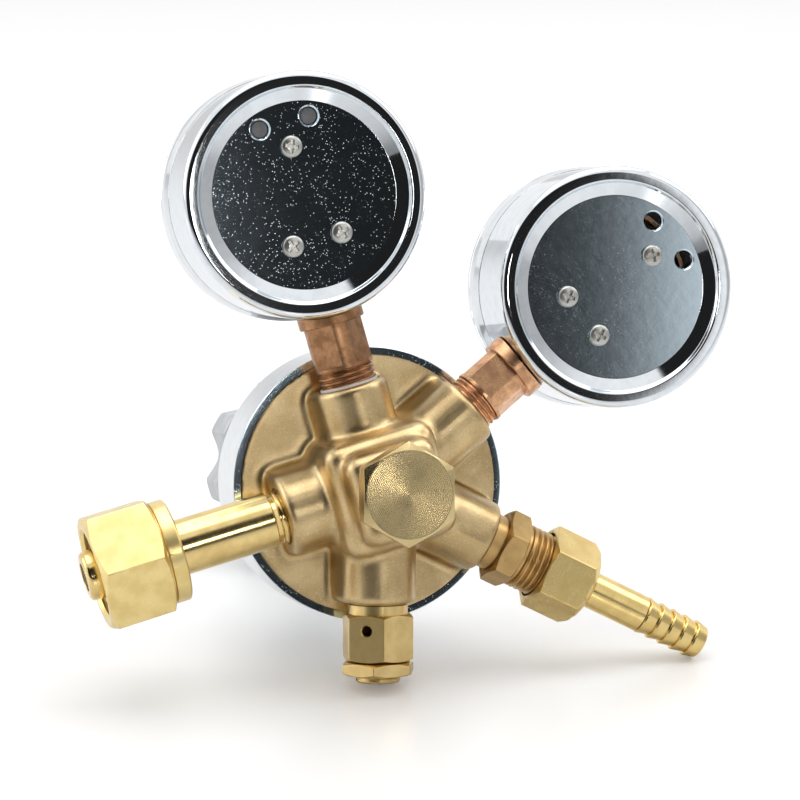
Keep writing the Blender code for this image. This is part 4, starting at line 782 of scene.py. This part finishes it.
web_rings = [12.5, 15.0, 17.5, 19.5, 21.5]
knob = turned(
    [
        (6.2, 78.0, 0.3),
        (9.0, 78.0, 1.0),
        (9.0, KNOB_BACK + 1.2, 0.8),
        (11.0, KNOB_BACK + 1.2, 0.5),
        *[(radius, KNOB_BACK, 0) for radius in web_rings],
        (KNOB_RADIUS, KNOB_BACK, 1.6),
        *[(KNOB_RADIUS, KNOB_BACK + 18.5 * share, 0) for share in (0.25, 0.5, 0.75)],
        (KNOB_RADIUS, KNOB_FRONT, 1.8),
        *[(radius, KNOB_FRONT, 0) for radius in reversed(web_rings)],
        (10.5, KNOB_FRONT, 0.4),
        (10.5, KNOB_FRONT - 0.8, 0.3),
        (8.3, KNOB_FRONT - 0.8, 0.2),
        (8.3, KNOB_FRONT - 3.1),
        (6.2, KNOB_FRONT - 3.1),
    ],
    round_bar(240),
)
knob_finish = cast_grey()
lobes = {"Lobes": KNOB_LOBES, "Depth": KNOB_DEPTH, "Phase": math.radians(KNOB_PHASE), "Rim": KNOB_RADIUS}
knob = grown(lobes_tree(), knob, knob_finish, Crest=0.30, Hub=12.0, **lobes)
grub_way = Matrix.Translation((0, 0, GRUB_PLACE)) @ Matrix.Rotation(math.radians(90), 4, "X")
grub_hole = drill(2.0, 5, 12, 32)
grub_hole.transform(grub_way)
knob = carved(knob, [grub_hole])
piece("hand_knob", knob, main_axis, knob_finish, "adjusting_knob", "knob_grey", ["knob"], 30.0)
cap_front = KNOB_FRONT - 0.3
cap = turned(
    [(0, cap_front - 2.5), (8.0, cap_front - 2.5), (8.0, cap_front, 0.7), (3.0, cap_front), (0, cap_front)]
)
cap_finish = black_plastic("cap_plastic", main_axis)
piece("knob_plug", cap, main_axis, cap_finish, "adjusting_knob", "black_enamel", ["knob_cap"])
grub = turned(
    [(0, 6.2), (1.1, 6.2), (1.7, 6.8), (1.7, 8.6, 0.15), (0.95, 8.6), (0.95, 7.4), (0, 7.4)],
    hexagon_bar(6.0, 0),
)
grub.transform(grub_way)
grub_finish = black_plastic("grub_black", main_axis)
piece("knob_grub", grub, main_axis, grub_finish, "adjusting_knob", "black_enamel", ["knob_grub_screw"])


# Inlet. A brass stem screwed into the forging ends in a shoulder and a rounded nose that seals in the
# cylinder's valve. The loose hexagon nut draws it in, and a sintered bronze filter sits in its mouth.
STEM_RADIUS = 6.8
NUT_BACK = 51.9
NUT_END = 72.6
NUT_FLATS = 27.0
NUT_TURN = 3.0
NUT_SIDE = NUT_FLATS / 2
NUT_CORNER = NUT_SIDE * HEX_CORNER + 0.1

stem = turned(
    [(2.0, 16.0), (5.6, 16.0)]
    + barrel(6.6, 17.0, 26.4)
    + [
        (6.15, 26.6, 0.1),
        (6.15, 27.6, 0.1),
        (STEM_RADIUS, 27.9, 0.15),
        (STEM_RADIUS, 62.0),
        (9.3, 62.0, 0.3),
        (9.3, 66.0, 0.8),
        (6.4, 66.2, 0.4),
        (6.0, 75.1, 2.6),
        (3.5, 75.1, 0.15),
        (3.5, 67.9),
        (2.0, 67.9),
    ],
    round_bar(120),
)
stem_finish = cut_brass("stem_brass", inlet_port, (0.86, 0.66, 0.29), (0.66, 0.47, 0.18), 0.05, 2.0, 11.0)
stem = grown(thread, stem, stem_finish, Pitch=1.8, Depth=0.8, Start=16.5, End=26.8, Core=3.0)
piece("inlet_tail", stem, inlet_port, stem_finish, "regulator", "copper_brass", ["inlet_stem"], 30.0)
bronze = Finish("filter_bronze", inlet_port, Metallic=1.0)
beads = bronze.point.make("ShaderNodeTexVoronoi", None, {"Vector": bronze.point, "Scale": 3.0})
# Painted shade: the gaps between the sintered beads are painted dark, as the pores fall into shade.
bronze.give("Base Color", blend(fade(beads, 0.1, 0.5), (0.50, 0.38, 0.22), (0.16, 0.11, 0.06)))
bronze.give("Roughness", 0.6 + 0.3 * beads)
bronze.raise_by(1 - beads, 120.0)
sinter = turned([(0, 68.2), (3.2, 68.2), (3.2, 74.9, 0.3), (0, 74.9)], round_bar(48))
piece("inlet_sinter", sinter, inlet_port, bronze.material, "regulator", "sintered_bronze", ["inlet_filter"])

collar = 12.6
nut_body = NUT_BACK + 4.2
nut = turned(
    [
        (7.2, NUT_BACK, 0.3),
        (collar, NUT_BACK, 0.7),
        (collar, nut_body - 0.5, 0.25),
        (collar - 0.7, nut_body - 0.4, 0.1),
        (collar - 0.7, nut_body, 0.1),
        (NUT_SIDE * 0.97, nut_body, 0.15),
        (NUT_CORNER, nut_body + 1.3, 0.2),
        (NUT_CORNER, NUT_END - 1.3, 0.2),
        (NUT_SIDE * 0.97, NUT_END, 0.2),
        (11.4, NUT_END, 0.15),
        *reversed(barrel(10.6, 61.9, NUT_END - 0.8)),
        (10.9, 61.7),
        (7.2, 61.7),
    ],
    hexagon_bar(NUT_FLATS, NUT_TURN, 0.5),
)
nut_finish = cut_brass("inlet_nut_brass", inlet_port, (0.88, 0.70, 0.32), (0.70, 0.52, 0.20), 0.19, 5.0, 6.0)
nut = grown(thread, nut, nut_finish, Pitch=1.8, Depth=-0.7, Start=62.2, End=71.6, Core=10.4)
piece("cylinder_nut", nut, inlet_port, nut_finish, "inlet_nut", "turned_brass", ["inlet_nut"], 15.0)


# Outlet. A hexagon adapter screwed into the forging, a union nut with a rounded end, and the barbed tail
# that a hose is pushed onto.
ADAPTER_FLATS = 16.8
ADAPTER_TURN = 40
UNION_FLATS = 19.0
UNION_TURN = 35
UNION_SIDE = UNION_FLATS / 2
BARB_START = 75.5
BARB_PITCH = 3.46
BARB_COUNT = 5

adapter = turned(
    [(2.6, 16.0), (6.0, 16.0)]
    + barrel(7.0, 17.0, 33.0)
    + [
        (6.5, 33.1),
        (6.5, 33.3),
        (8.15, 33.3, 0.12),
        (9.75, 34.1, 0.12),
        (9.75, 38.2, 0.12),
        (8.15, 39.0, 0.12),
        (7.5, 39.1),
        (7.5, 39.9),
    ]
    + barrel(8.1, 40.1, 48.2)
    + [(7.1, 49.0), (2.6, 49.0)],
    hexagon_bar(ADAPTER_FLATS, ADAPTER_TURN),
)
adapter_finish = cut_brass(
    "adapter_brass", outlet_port, (0.62, 0.41, 0.17), (0.42, 0.26, 0.10), 0.22, 5.0, 6.0
)
adapter = grown(thread, adapter, adapter_finish, Pitch=1.5, Depth=0.8, Start=39.9, End=49.2, Core=7.2)
setting = [adapter, outlet_port, adapter_finish]
piece("outlet_union", *setting, "regulator", "copper_brass", ["outlet_adapter"], 30.0)
union = turned(
    [
        (8.6, 45.5, 0.2),
        (UNION_SIDE * 0.97, 45.5, 0.15),
        (UNION_SIDE * HEX_CORNER + 0.1, 46.3, 0.15),
        (UNION_SIDE * HEX_CORNER + 0.1, 56.4, 0.6),
        (UNION_SIDE * 1.02, 58.0, 1.2),
        (UNION_SIDE * 0.82, 59.0, 0.8),
        (4.9, 59.0, 0.3),
        (4.9, 54.0),
        (8.4, 54.0),
    ],
    hexagon_bar(UNION_FLATS, UNION_TURN, 0.4),
)
union_finish = cut_brass("union_brass", outlet_port, (0.84, 0.64, 0.28), (0.64, 0.46, 0.17), 0.17, 5.0, 6.0)
piece("hose_union_nut", union, outlet_port, union_finish, "union_nut", "turned_brass", ["outlet_nut"], 15.0)


def row_tree():
    """Repeats a ring along its axis."""
    sizes = ("Count", "Pitch")
    tree, entry = shaping_tree("row_of_rings", sizes)
    way = entry.make("ShaderNodeCombineXYZ", None, {2: entry.beside("Pitch")})
    line = entry.make("GeometryNodeMeshLine", None, {"Count": entry.beside("Count"), "Offset": way})
    entries = {"Points": line, "Instance": entry.beside("Geometry")}
    close_tree(tree, entry, entry.make("GeometryNodeInstanceOnPoints", None, entries))
    return tree


tail_finish = cut_brass("tail_brass", outlet_port, (0.88, 0.67, 0.28), (0.68, 0.49, 0.18), 0.06, 2.0, 9.0)
tail_end = BARB_START + BARB_PITCH * BARB_COUNT
tail = turned(
    [
        (2.6, 49.3),
        (6.5, 49.3, 0.3),
        (6.5, 53.7, 0.6),
        (4.6, 53.7),
        (4.6, BARB_START - 0.3, 0.2),
        (3.9, BARB_START, 0.1),
        (3.9, tail_end, 0.3),
        (2.6, tail_end, 0.2),
    ],
    round_bar(96),
)
barb = turned(
    [(3.7, 0), (4.5, 0, 0.1), (4.76, 0.35, 0.12), (4.12, BARB_PITCH - 0.3, 0.1), (3.7, BARB_PITCH - 0.15)],
    round_bar(96),
)
barb.transform(Matrix.Translation((0, 0, BARB_START)))
barbs = grown(row_tree(), barb, tail_finish, Count=BARB_COUNT, Pitch=BARB_PITCH)
tail = carved(tail, [barbs], "UNION")
piece("hose_tail_barbed", tail, outlet_port, tail_finish, "hose_tail", "turned_brass", ["hose_barb"], 20.0)


# Relief valve. A hexagon body with a vent hole through one flat, a thin locknut, and the slotted adjuster
# that sets the spring inside. It is screwed into the forging's lowest boss.
RELIEF_FLATS = 16.0
RELIEF_TURN = 4
RELIEF_SIDE = RELIEF_FLATS / 2
LOCKNUT_FLATS = 16.5
LOCKNUT_TURN = 20
LOCKNUT_SIDE = LOCKNUT_FLATS / 2
relief_finish = cut_brass("relief_brass", relief_port, (0.80, 0.60, 0.27), (0.62, 0.44, 0.17), 0.20, 5.0, 6.0)
relief = turned(
    [
        (2.0, 16.0),
        (6.0, 16.0),
        (7.0, 17.0),
        (7.0, 28.6),
        (7.3, 28.8, 0.1),
        (7.3, 31.1),
        (RELIEF_SIDE * 0.97, 31.1, 0.12),
        (RELIEF_SIDE * HEX_CORNER + 0.1, 31.9, 0.12),
        (RELIEF_SIDE * HEX_CORNER + 0.1, 41.8, 0.12),
        (RELIEF_SIDE * 0.97, 42.6, 0.12),
        (5.7, 42.6),
        (5.7, 21.0),
        (2.0, 21.0),
    ],
    hexagon_bar(RELIEF_FLATS, RELIEF_TURN),
)
vent = turned(
    [(0, 0), (1.3, 0), (1.3, RELIEF_SIDE - 0.25), (1.55, RELIEF_SIDE + 0.05), (1.55, 12), (0, 12)],
    round_bar(36),
)
vent_turn = Matrix.Rotation(math.radians(30 + RELIEF_TURN), 4, "Z")
vent.transform(Matrix.Translation((0, 0, 34.8)) @ vent_turn @ Matrix.Rotation(math.radians(90), 4, "X"))
relief = carved(relief, [vent])
piece(
    "relief_hexagon", relief, relief_port, relief_finish, "regulator", "turned_brass", ["relief_body"], 15.0
)
locknut = turned(
    [
        (5.75, 42.9, 0.1),
        (LOCKNUT_SIDE * 0.97, 42.9, 0.1),
        (LOCKNUT_SIDE * HEX_CORNER + 0.1, 43.7, 0.12),
        (LOCKNUT_SIDE * HEX_CORNER + 0.1, 45.3, 0.12),
        (LOCKNUT_SIDE * 0.97, 46.1, 0.1),
        (5.75, 46.1, 0.1),
    ],
    hexagon_bar(LOCKNUT_FLATS, LOCKNUT_TURN),
)
piece(
    "relief_lock", locknut, relief_port, relief_finish, "regulator", "turned_brass", ["relief_locknut"], 15.0
)
adjuster = turned(
    [(4.0, 38.5), (5.4, 38.5)]
    + barrel(5.4, 39.0, 46.8)
    + [(5.4, 47.95, 0.7), (0, 47.95), (0, 43.5), (4.0, 43.5)],
    round_bar(96),
)
slot = block((14, 1.0, 2.2), (0, 0, 48.0))
adjuster = grown(thread, adjuster, relief_finish, Pitch=1.0, Depth=0.5, Start=38.7, End=47.0, Core=4.5)
adjuster = carved(adjuster, [slot])
adjuster_finish = cut_brass(
    "adjuster_brass", relief_port, (0.72, 0.53, 0.24), (0.50, 0.35, 0.13), 0.26, 8.0, 6.0
)
setting = [adjuster, relief_port, adjuster_finish]
piece("relief_setting_screw", *setting, "regulator", "turned_brass", ["relief_adjuster"], 30.0)


# Gauges. Two alike: a pressed and chromed steel cup with a dished back, held to the brass socket's block by
# cross-head screws. A rolled bezel holds a glass over an enamelled dial that faces away from the camera.
CASE_RADIUS = 29.7
DISC_RADIUS = 22.6
DISC_BACK = -9.4
CREST_BACK = -11.4
CASE_FRONT = 16.0
VENT_RADIUS = 2.2
VENT_SIDE = 6.2
VENT_HEIGHT = 17.9
SCREW_SIDE = 6.2
SCREW_HIGH = 12.0
SCREW_LOW = -11.0
SOCKET_FLAT = 6.15
DIAL_START = 225
DIAL_SWEEP = 270
DIAL_FRONT = 11.03


def set_copies(tree, entry, count, place, spin):
    """Ends a tree that puts a copy of its piece at each place of a row, turned by its spin."""
    line = entry.make("GeometryNodeMeshLine", None, {"Count": count, "Offset": (0, 0, 0)})
    line = line.make("GeometryNodeSetPosition", None, {"Geometry": line, "Position": place})
    entries = {"Points": line, "Instance": entry.beside("Geometry"), "Rotation": spin}
    close_tree(tree, entry, line.make("GeometryNodeInstanceOnPoints", None, entries))
    return tree


def screws_tree():
    """Sets a screw at one point above and at two below, each turned a little further."""
    sizes = ("Side", "High", "Low")
    tree, entry = shaping_tree("three_screws", sizes)
    side, high, low = (entry.beside(size) for size in sizes)
    spot = entry.make("GeometryNodeInputIndex") - 1
    drop = spot.math("ABSOLUTE", spot) * (high - low)
    place = spot.make("ShaderNodeCombineXYZ", None, {0: spot * side, 1: high - drop})
    spin = spot.make("ShaderNodeCombineXYZ", None, {2: spot * 2.3 + 0.4})
    return set_copies(tree, entry, 3, place, spin)


def ticks_tree():
    """Sets a mark along an arc of a dial."""
    sizes = ("Count", "Radius", "Start", "Sweep")
    tree, entry = shaping_tree("dial_marks", sizes)
    count, radius, start, sweep = (entry.beside(size) for size in sizes)
    step = entry.make("GeometryNodeInputIndex")
    angle = start - step * sweep / (count - 1)
    x = angle.math("COSINE", angle) * radius
    place = angle.make("ShaderNodeCombineXYZ", None, {0: x, 1: angle.math("SINE", angle) * radius})
    return set_copies(tree, entry, count, place, angle.make("ShaderNodeCombineXYZ", None, {2: angle}))


def disc_face(made):
    """1 on the flat disc of a case's back."""
    return 1 - fade(made.radius, DISC_RADIUS - 0.4, DISC_RADIUS)


def cross_screw():
    """A pan head with a cross recess."""
    outline = [
        (0, DISC_BACK - 1.55),
        (1.2, DISC_BACK - 1.5, 0.5),
        (2.6, DISC_BACK - 1.1, 0.7),
        (2.6, DISC_BACK, 0.1),
        (1.3, DISC_BACK),
        (1.3, DISC_BACK + 4.5),
        (0, DISC_BACK + 4.5),
    ]
    arms = [block((3.3, 0.85, 2.4), (0, 0, DISC_BACK - 1.75), turn=turn) for turn in (0, 90)]
    core = [(0, DISC_BACK - 2.2), (1.0, DISC_BACK - 2.2), (0.45, DISC_BACK - 0.35), (0, DISC_BACK - 0.35)]
    return carved(turned(outline, round_bar(48)), [*arms, turned(core, round_bar(16))])


def gauge_glass(name, place):
    made = Finish(name, place, Metallic=0.0, Transmission_Weight=1.0, IOR=1.46)
    made.give("Base Color", blend(noise(made.point, 0.1), (0.97, 0.98, 0.98), (1.0, 1.0, 1.0)))
    made.give("Roughness", 0.01 + 0.05 * fade(noise(made.point, 0.25, 3.0), 0.45, 0.75))
    return made.material


def enamel(name, place, tint, shade):
    made = Finish(name, place)
    peel = noise(made.point, 1.4, 2.0)
    made.give("Base Color", blend(peel, tint, shade))
    made.give("Roughness", 0.30 + 0.12 * peel)
    made.raise_by(peel, 6.0)
    return made.material


def pulled_copper(name, place, tint, shade, gloss):
    """Copper-brown brass bar with drawing lines along it, stains and bright scuffs."""
    made = Finish(name, place, Metallic=1.0)
    stretched = made.drawn(2.6, 2.6, 0.5)
    lines = noise(stretched, 2.2, 4.0, 0.65)
    stains = noise(made.point, 0.35, 4.0, 0.6)
    scuffs = fade(noise(stretched, 0.9, 5.0, 0.7), 0.60, 0.70)
    colour = blend(fade(stains, 0.36, 0.66), tint, shade)
    colour = blend(scuffs * 0.55, colour, tuple(min(1.0, c * 1.45) for c in tint))
    made.give("Base Color", colour)
    made.give("Roughness", gloss + 0.22 * stains - 0.08 * scuffs)
    made.raise_by(lines + 0.4 * stains, 16.0)
    return made.material


def dress(node, finish):
    """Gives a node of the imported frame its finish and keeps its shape."""
    mesh = bpy.data.objects[node].data
    mesh.materials.clear()
    mesh.materials.append(finish)


# Each gauge's name, the end of its thread, the start of its collar, the turn of its flats, the end of its
# boss, the numbers on its dial, and how much dust lies on its back.
gauges = (
    ("inlet", 30.2, 41.6, 45.0, 26.0, ("0", "5", "10", "15", "20", "25"), 1.0),
    ("outlet", 33.0, 43.0, 63.0, 30.0, ("0", "0.5", "1", "1.5", "2", "2.5"), 0.35),
)
screw_rule = screws_tree()
mark_rule = ticks_tree()
for name, thread_end, collar_start, flats_turn, boss_end, numbers, dust in gauges:
    port = gauge_ports[name]
    across = gauge_centres[name] - middle
    reach = across - knob_way * across.dot(knob_way)
    face = set_out(middle + reach, knob_way, reach)
    distance = reach.length / MM
    node = name + "_gauge_"

    plate = chrome(name + "_case_chrome", face, (0.80, 0.84, 0.88), 0.02, dust, disc_face)
    case = turned(
        [
            (0, DISC_BACK),
            (8.0, DISC_BACK),
            (16.0, DISC_BACK),
            (DISC_RADIUS, DISC_BACK, 0.25),
            (25.5, DISC_BACK - 1.15, 0.5),
            (26.1, CREST_BACK, 0.6),
            (CASE_RADIUS, CREST_BACK, 2.3),
            (CASE_RADIUS, 9.2, 0.15),
            (29.2, 9.2),
            (29.2, CASE_FRONT),
            (28.2, CASE_FRONT),
            (28.2, -8.4, 0.5),
            (0, -8.4),
        ],
        round_bar(180),
    )
    tools = []
    lip = VENT_RADIUS + 0.45
    for side in (-1, 1):
        vent = turned(
            [(0, DISC_BACK - 3), (lip, DISC_BACK - 3), (lip, DISC_BACK - 0.01)]
            + [(VENT_RADIUS, DISC_BACK + 0.35, 0.2), (VENT_RADIUS, -5), (0, -5)],
            round_bar(48),
        )
        vent.transform(Matrix.Translation((side * VENT_SIDE, VENT_HEIGHT, 0)))
        tools.append(vent)
    for x, y in ((0, SCREW_HIGH), (-SCREW_SIDE, SCREW_LOW), (SCREW_SIDE, SCREW_LOW)):
        hole = drill(1.6, DISC_BACK - 3, -5, 24)
        hole.transform(Matrix.Translation((x, y, 0)))
        tools.append(hole)
    neck = drill(4.8, 8, 36, 32)
    neck.transform(Matrix.Rotation(math.radians(90), 4, "X"))
    case = carved(case, [*tools, neck])
    piece(name + "_case", case, face, plate, "regulator", "chrome_plate", [node + "case"], 18.0)

    if name == "inlet":
        plugs = []
        for side in (-1, 1):
            stopper = turned(
                [(0, -9.0), (VENT_RADIUS - 0.3, -8.95, 0.2), (VENT_RADIUS, -8.3)]
                + [(VENT_RADIUS, -7.2, 0.3), (0, -7.2)],
                round_bar(32),
            )
            stopper.transform(Matrix.Translation((side * VENT_SIDE, VENT_HEIGHT, 0)))
            plugs.append(stopper)
        rubber = enamel("vent_rubber", face, (0.10, 0.10, 0.105), (0.16, 0.16, 0.165))
        piece("inlet_vent_plugs", joined(plugs), face, rubber, "regulator", "black_rubber", [])
        tape = [(6.3, boss_end - 0.5), (7.3, boss_end - 0.4, 0.1)]
        tape = turned(tape + [(7.15, boss_end + 0.5, 0.15), (6.3, boss_end + 0.4)])
        white_tape = enamel("sealing_tape", port, (0.82, 0.80, 0.76), (0.62, 0.58, 0.52))
        piece("inlet_sealing_tape", tape, port, white_tape, "regulator", "seat_plastic", [])

    heads = grown(screw_rule, cross_screw(), None, Side=SCREW_SIDE, High=SCREW_HIGH, Low=SCREW_LOW)
    head_finish = steel(name + "_screw_steel", face, (0.58, 0.57, 0.53))
    nodes = [f"{node}back_screw_{index}" for index in (1, 2, 3)]
    piece(name + "_back_screws", heads, face, head_finish, "regulator", "steel", nodes, 30.0)

    bezel = turned(
        [
            (29.5, 9.5),
            (29.75, 9.5),
            (30.3, 12.4, 2.0),
            (30.3, 16.0, 0.2),
            (30.05, 16.3, 0.15),
            (30.3, 16.6, 0.2),
            (30.3, 18.6, 1.2),
            (28.3, 18.6, 0.4),
            (27.8, 18.1, 0.2),
            (27.8, 18.0),
            (29.5, 18.0),
        ],
        round_bar(180),
    )
    bezel_finish = chrome(name + "_bezel_chrome", face)
    piece(name + "_bezel", bezel, face, bezel_finish, "regulator", "chrome_plate", [node + "bezel"], 25.0)
    glass = turned([(0, 16.3), (10, 16.3), (29.2, 16.3, 0.2), (29.2, 17.7, 0.3), (10, 17.7), (0, 17.7)])
    glass_finish = gauge_glass(name + "_glass", face)
    piece(name + "_glass", glass, face, glass_finish, "regulator", "gauge_glass", [node + "window"])

    white = enamel(name + "_dial_white", face, (0.86, 0.86, 0.84), (0.90, 0.90, 0.88))
    black = enamel(name + "_dial_black", face, (0.015, 0.015, 0.016), (0.03, 0.03, 0.03))
    sheet = turned([(1.1, 10.4), (27.5, 10.4, 0.1), (27.5, 11.0, 0.2), (1.1, 11.0)])
    piece(name + "_dial_sheet", sheet, face, white, "regulator", "white_enamel", [node + "dial"])
    start = math.radians(DIAL_START)
    sweep = math.radians(DIAL_SWEEP)
    printed = []
    for count, length, width, radius in ((51, 1.3, 0.22, 24.9), (11, 2.2, 0.4, 24.5), (6, 3.4, 0.6, 23.9)):
        mark = block((length, width, 0.06), (0, 0, DIAL_FRONT))
        printed.append(grown(mark_rule, mark, black, Count=count, Radius=radius, Start=start, Sweep=sweep))
    printed.append(turned([(25.5, 11.0), (25.75, 11.0), (25.75, 11.06), (25.5, 11.06)], round_bar(180)))
    for index, figure in enumerate(numbers):
        curve = bpy.data.curves.new("figure", "FONT")
        curve.body = figure
        curve.size = 4.4
        curve.extrude = 0.03
        curve.align_x = "CENTER"
        curve.align_y = "CENTER"
        work = bpy.data.objects.new("figure", curve)
        bpy.context.scene.collection.objects.link(work)
        letter = bpy.data.meshes.new_from_object(work.evaluated_get(bpy.context.evaluated_depsgraph_get()))
        bpy.data.objects.remove(work)
        angle = start - sweep * index / (len(numbers) - 1)
        at = (19.0 * math.cos(angle), 19.0 * math.sin(angle), DIAL_FRONT)
        letter.transform(Matrix.Translation(at))
        printed.append(letter)
    piece(name + "_dial_print", joined(printed), face, black, "regulator", "black_enamel", [])

    if name == "inlet":
        tints = ((0.46, 0.245, 0.125), (0.28, 0.145, 0.072), 0.24)
    else:
        tints = ((0.82, 0.47, 0.25), (0.52, 0.28, 0.16), 0.18)
    copper = pulled_copper(name + "_socket_copper", port, *tints)
    bar = turned(
        [(0, 16.0), (5.95, 16.0)]
        + barrel(6.95, 17.0, thread_end - 0.2)
        + [
            (6.4, thread_end - 0.1),
            (6.4, thread_end + 0.1),
            (7.15, thread_end + 0.3, 0.15),
            (7.15, collar_start, 0.1),
            (8.1, collar_start, 0.35),
            (8.1, distance - 17.0),
            (0, distance - 17.0),
        ],
        round_bar(96),
    )
    bar = grown(thread, bar, copper, Pitch=1.25, Depth=0.5, Start=16.5, End=thread_end + 0.2, Core=5.0)
    flats = []
    low = thread_end + 1.2
    cut = SOCKET_FLAT + 3
    for index in range(4):
        facing = flats_turn + 90 * index
        angle = math.radians(facing)
        centre = (cut * math.cos(angle), cut * math.sin(angle), (low + collar_start) / 2)
        flats.append(block((6, 14, collar_start - low), centre, turn=facing))
    saddle = moved(drill(30.0, -30, 30, 180), face, port)
    bar = carved(bar, [*flats, saddle])
    shank = drill(4.5, collar_start - 1, distance - 12, 32)
    holder = moved(block((17.0, 9.0, 12.5), (0, -12.5, -1.75), 0.4, 2), face, port)
    bar = carved(bar, [shank, holder], "UNION")
    piece(name + "_socket_bar", bar, port, copper, "regulator", "copper_brass", [node + "socket"], 25.0)

    hub = turned([(0, 12.9), (2.1, 12.9), (2.1, 13.4, 0.4), (0, 13.9)], round_bar(48))
    piece(name + "_pointer_cap", hub, face, black, name + "_gauge_pointer", "black_enamel", [])
    dress(node + "pointer", black)
    dress(node + "bourdon_tube", copper)
    for part in ("movement", "sector", "link"):
        dress(node + part, cut_brass(node + part + "_brass", face))


# Inside. The valve, the springs and the diaphragm work out of sight between the plug, the forging and the
# bonnet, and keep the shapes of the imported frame.
inner_finishes = (
    (cut_brass("valve_brass", main_axis), ("seat_nozzle", "poppet", "relief_poppet")),
    (steel("spring_steel", main_axis), ("poppet_spring", "regulating_spring", "relief_spring", "slip_ring")),
    (steel("plate_steel", main_axis, (0.62, 0.62, 0.61)), ("diaphragm_plate", "spring_button")),
    (black_plastic("diaphragm_rubber", main_axis), ("diaphragm",)),
    (enamel("seat_white", main_axis, (0.80, 0.79, 0.74), (0.86, 0.85, 0.80)), ("seat_disc",)),
)
for finish, nodes in inner_finishes:
    for node in nodes:
        dress(node, finish)


# Studio. A white sheet under soft white light. The chrome reflects a white room with the dark behind the
# camera and a dimmer wall on its right, and a small lamp by the camera puts the highlights on the brass.
floor = bpy.data.objects.new("floor", block((12, 12, 0.02), (0, 0, cad_box[0].z - 0.0101)))
bpy.context.scene.collection.objects.link(floor)
paper = bpy.data.materials.new("paper_white")
paper.use_nodes = True
sheet = Socket(paper.node_tree)
grain = noise(sheet.make("ShaderNodeTexCoord", output="Object"), 300.0)
paper_shader = paper.node_tree.nodes["Principled BSDF"]
pale = blend(grain, (0.93, 0.93, 0.93), (0.95, 0.95, 0.95))
paper.node_tree.links.new(pale.source, paper_shader.inputs["Base Color"])
paper_shader.inputs["Roughness"].default_value = 0.28
glow = 0.16 * sheet.make("ShaderNodeLightPath")
paper.node_tree.links.new(blend(glow, (0, 0, 0), (1, 1, 1)).source, paper_shader.inputs["Emission Color"])
paper_shader.inputs["Emission Strength"].default_value = 1.0
floor.data.materials.append(paper)

# Seen from the plug's side: X to the right, Y the way that the knob lies, Z up.
turn = main_axis.to_3x3() @ Matrix(((1, 0, 0), (0, 0, -1), (0, 1, 0)))
eye = middle + turn @ Vector((-172.19, -711.83, 47.70)) * MM
forward = turn @ Vector((0.24213, 0.96957, -0.03625)).normalized()
level = forward.cross(turn @ Vector((0, 0, 1))).normalized()
camera = bpy.data.objects.new("camera", bpy.data.cameras.new("camera"))
camera.data.lens = 135.0
camera.data.sensor_width = 36.0
camera.data.clip_start = 0.05
camera.data.clip_end = 50.0
aim = Matrix((level, level.cross(forward), -forward)).transposed()
camera.matrix_world = Matrix.Translation(eye) @ aim.to_4x4()
bpy.context.scene.collection.objects.link(camera)
bpy.context.scene.camera = camera


def sight(turned_right, raised):
    """A direction from the object, in degrees from straight out of the plug's face."""
    right, up = math.radians(turned_right), math.radians(raised)
    return turn @ Vector((math.sin(right) * math.cos(up), -math.cos(right) * math.cos(up), math.sin(up)))


lamps = (
    ("top_softbox", sight(0, 84) * 1.25, 1.2, 8.5),
    ("left_softbox", sight(-100, 24) * 1.3, 0.8, 3.4),
    ("right_softbox", sight(75, 40) * 1.3, 0.7, 3.0),
    ("flash", sight(3, 5) * 1.2, 0.13, 0.9),
)
for name, spot, size, power in lamps:
    lamp = bpy.data.objects.new(name, bpy.data.lights.new(name, "AREA"))
    lamp.data.size = size
    lamp.data.energy = power
    lamp.location = spot
    lamp.rotation_euler = (Vector((0, 0, 0.07)) - spot).to_track_quat("-Z", "Y").to_euler()
    bpy.context.scene.collection.objects.link(lamp)

world = bpy.data.worlds.new("white_room")
world.use_nodes = True
bpy.context.scene.world = world
sky = Socket(world.node_tree)
ray = sky.make("ShaderNodeLightPath")
glossy = ray.beside("Is Glossy Ray")
seen = ray.math("MAXIMUM", ray, ray.beside("Is Transmission Ray"))
way = sky.make("ShaderNodeTexCoord")


def patch(turned_right, raised, edge, core):
    """1 for rays that go one way, and 0 for those that don't."""
    entries = {0: way, 1: sight(turned_right, raised)}
    along = way.make("ShaderNodeVectorMath", {"operation": "DOT_PRODUCT"}, entries, 1)
    return fade(along, math.cos(math.radians(edge)), math.cos(math.radians(core)))


room = (1 - 0.985 * patch(-22, 0, 42.4, 39.9)) * (1 - 0.5 * patch(62, 2, 42, 12))
strength = (0.45 + 0.55 * seen) * (1 - glossy) + room * glossy
background = world.node_tree.nodes["Background"]
background.inputs["Color"].default_value = (1, 1, 1, 1)
world.node_tree.links.new(strength.source, background.inputs["Strength"])
bpy.context.scene.view_settings.view_transform = "Standard"
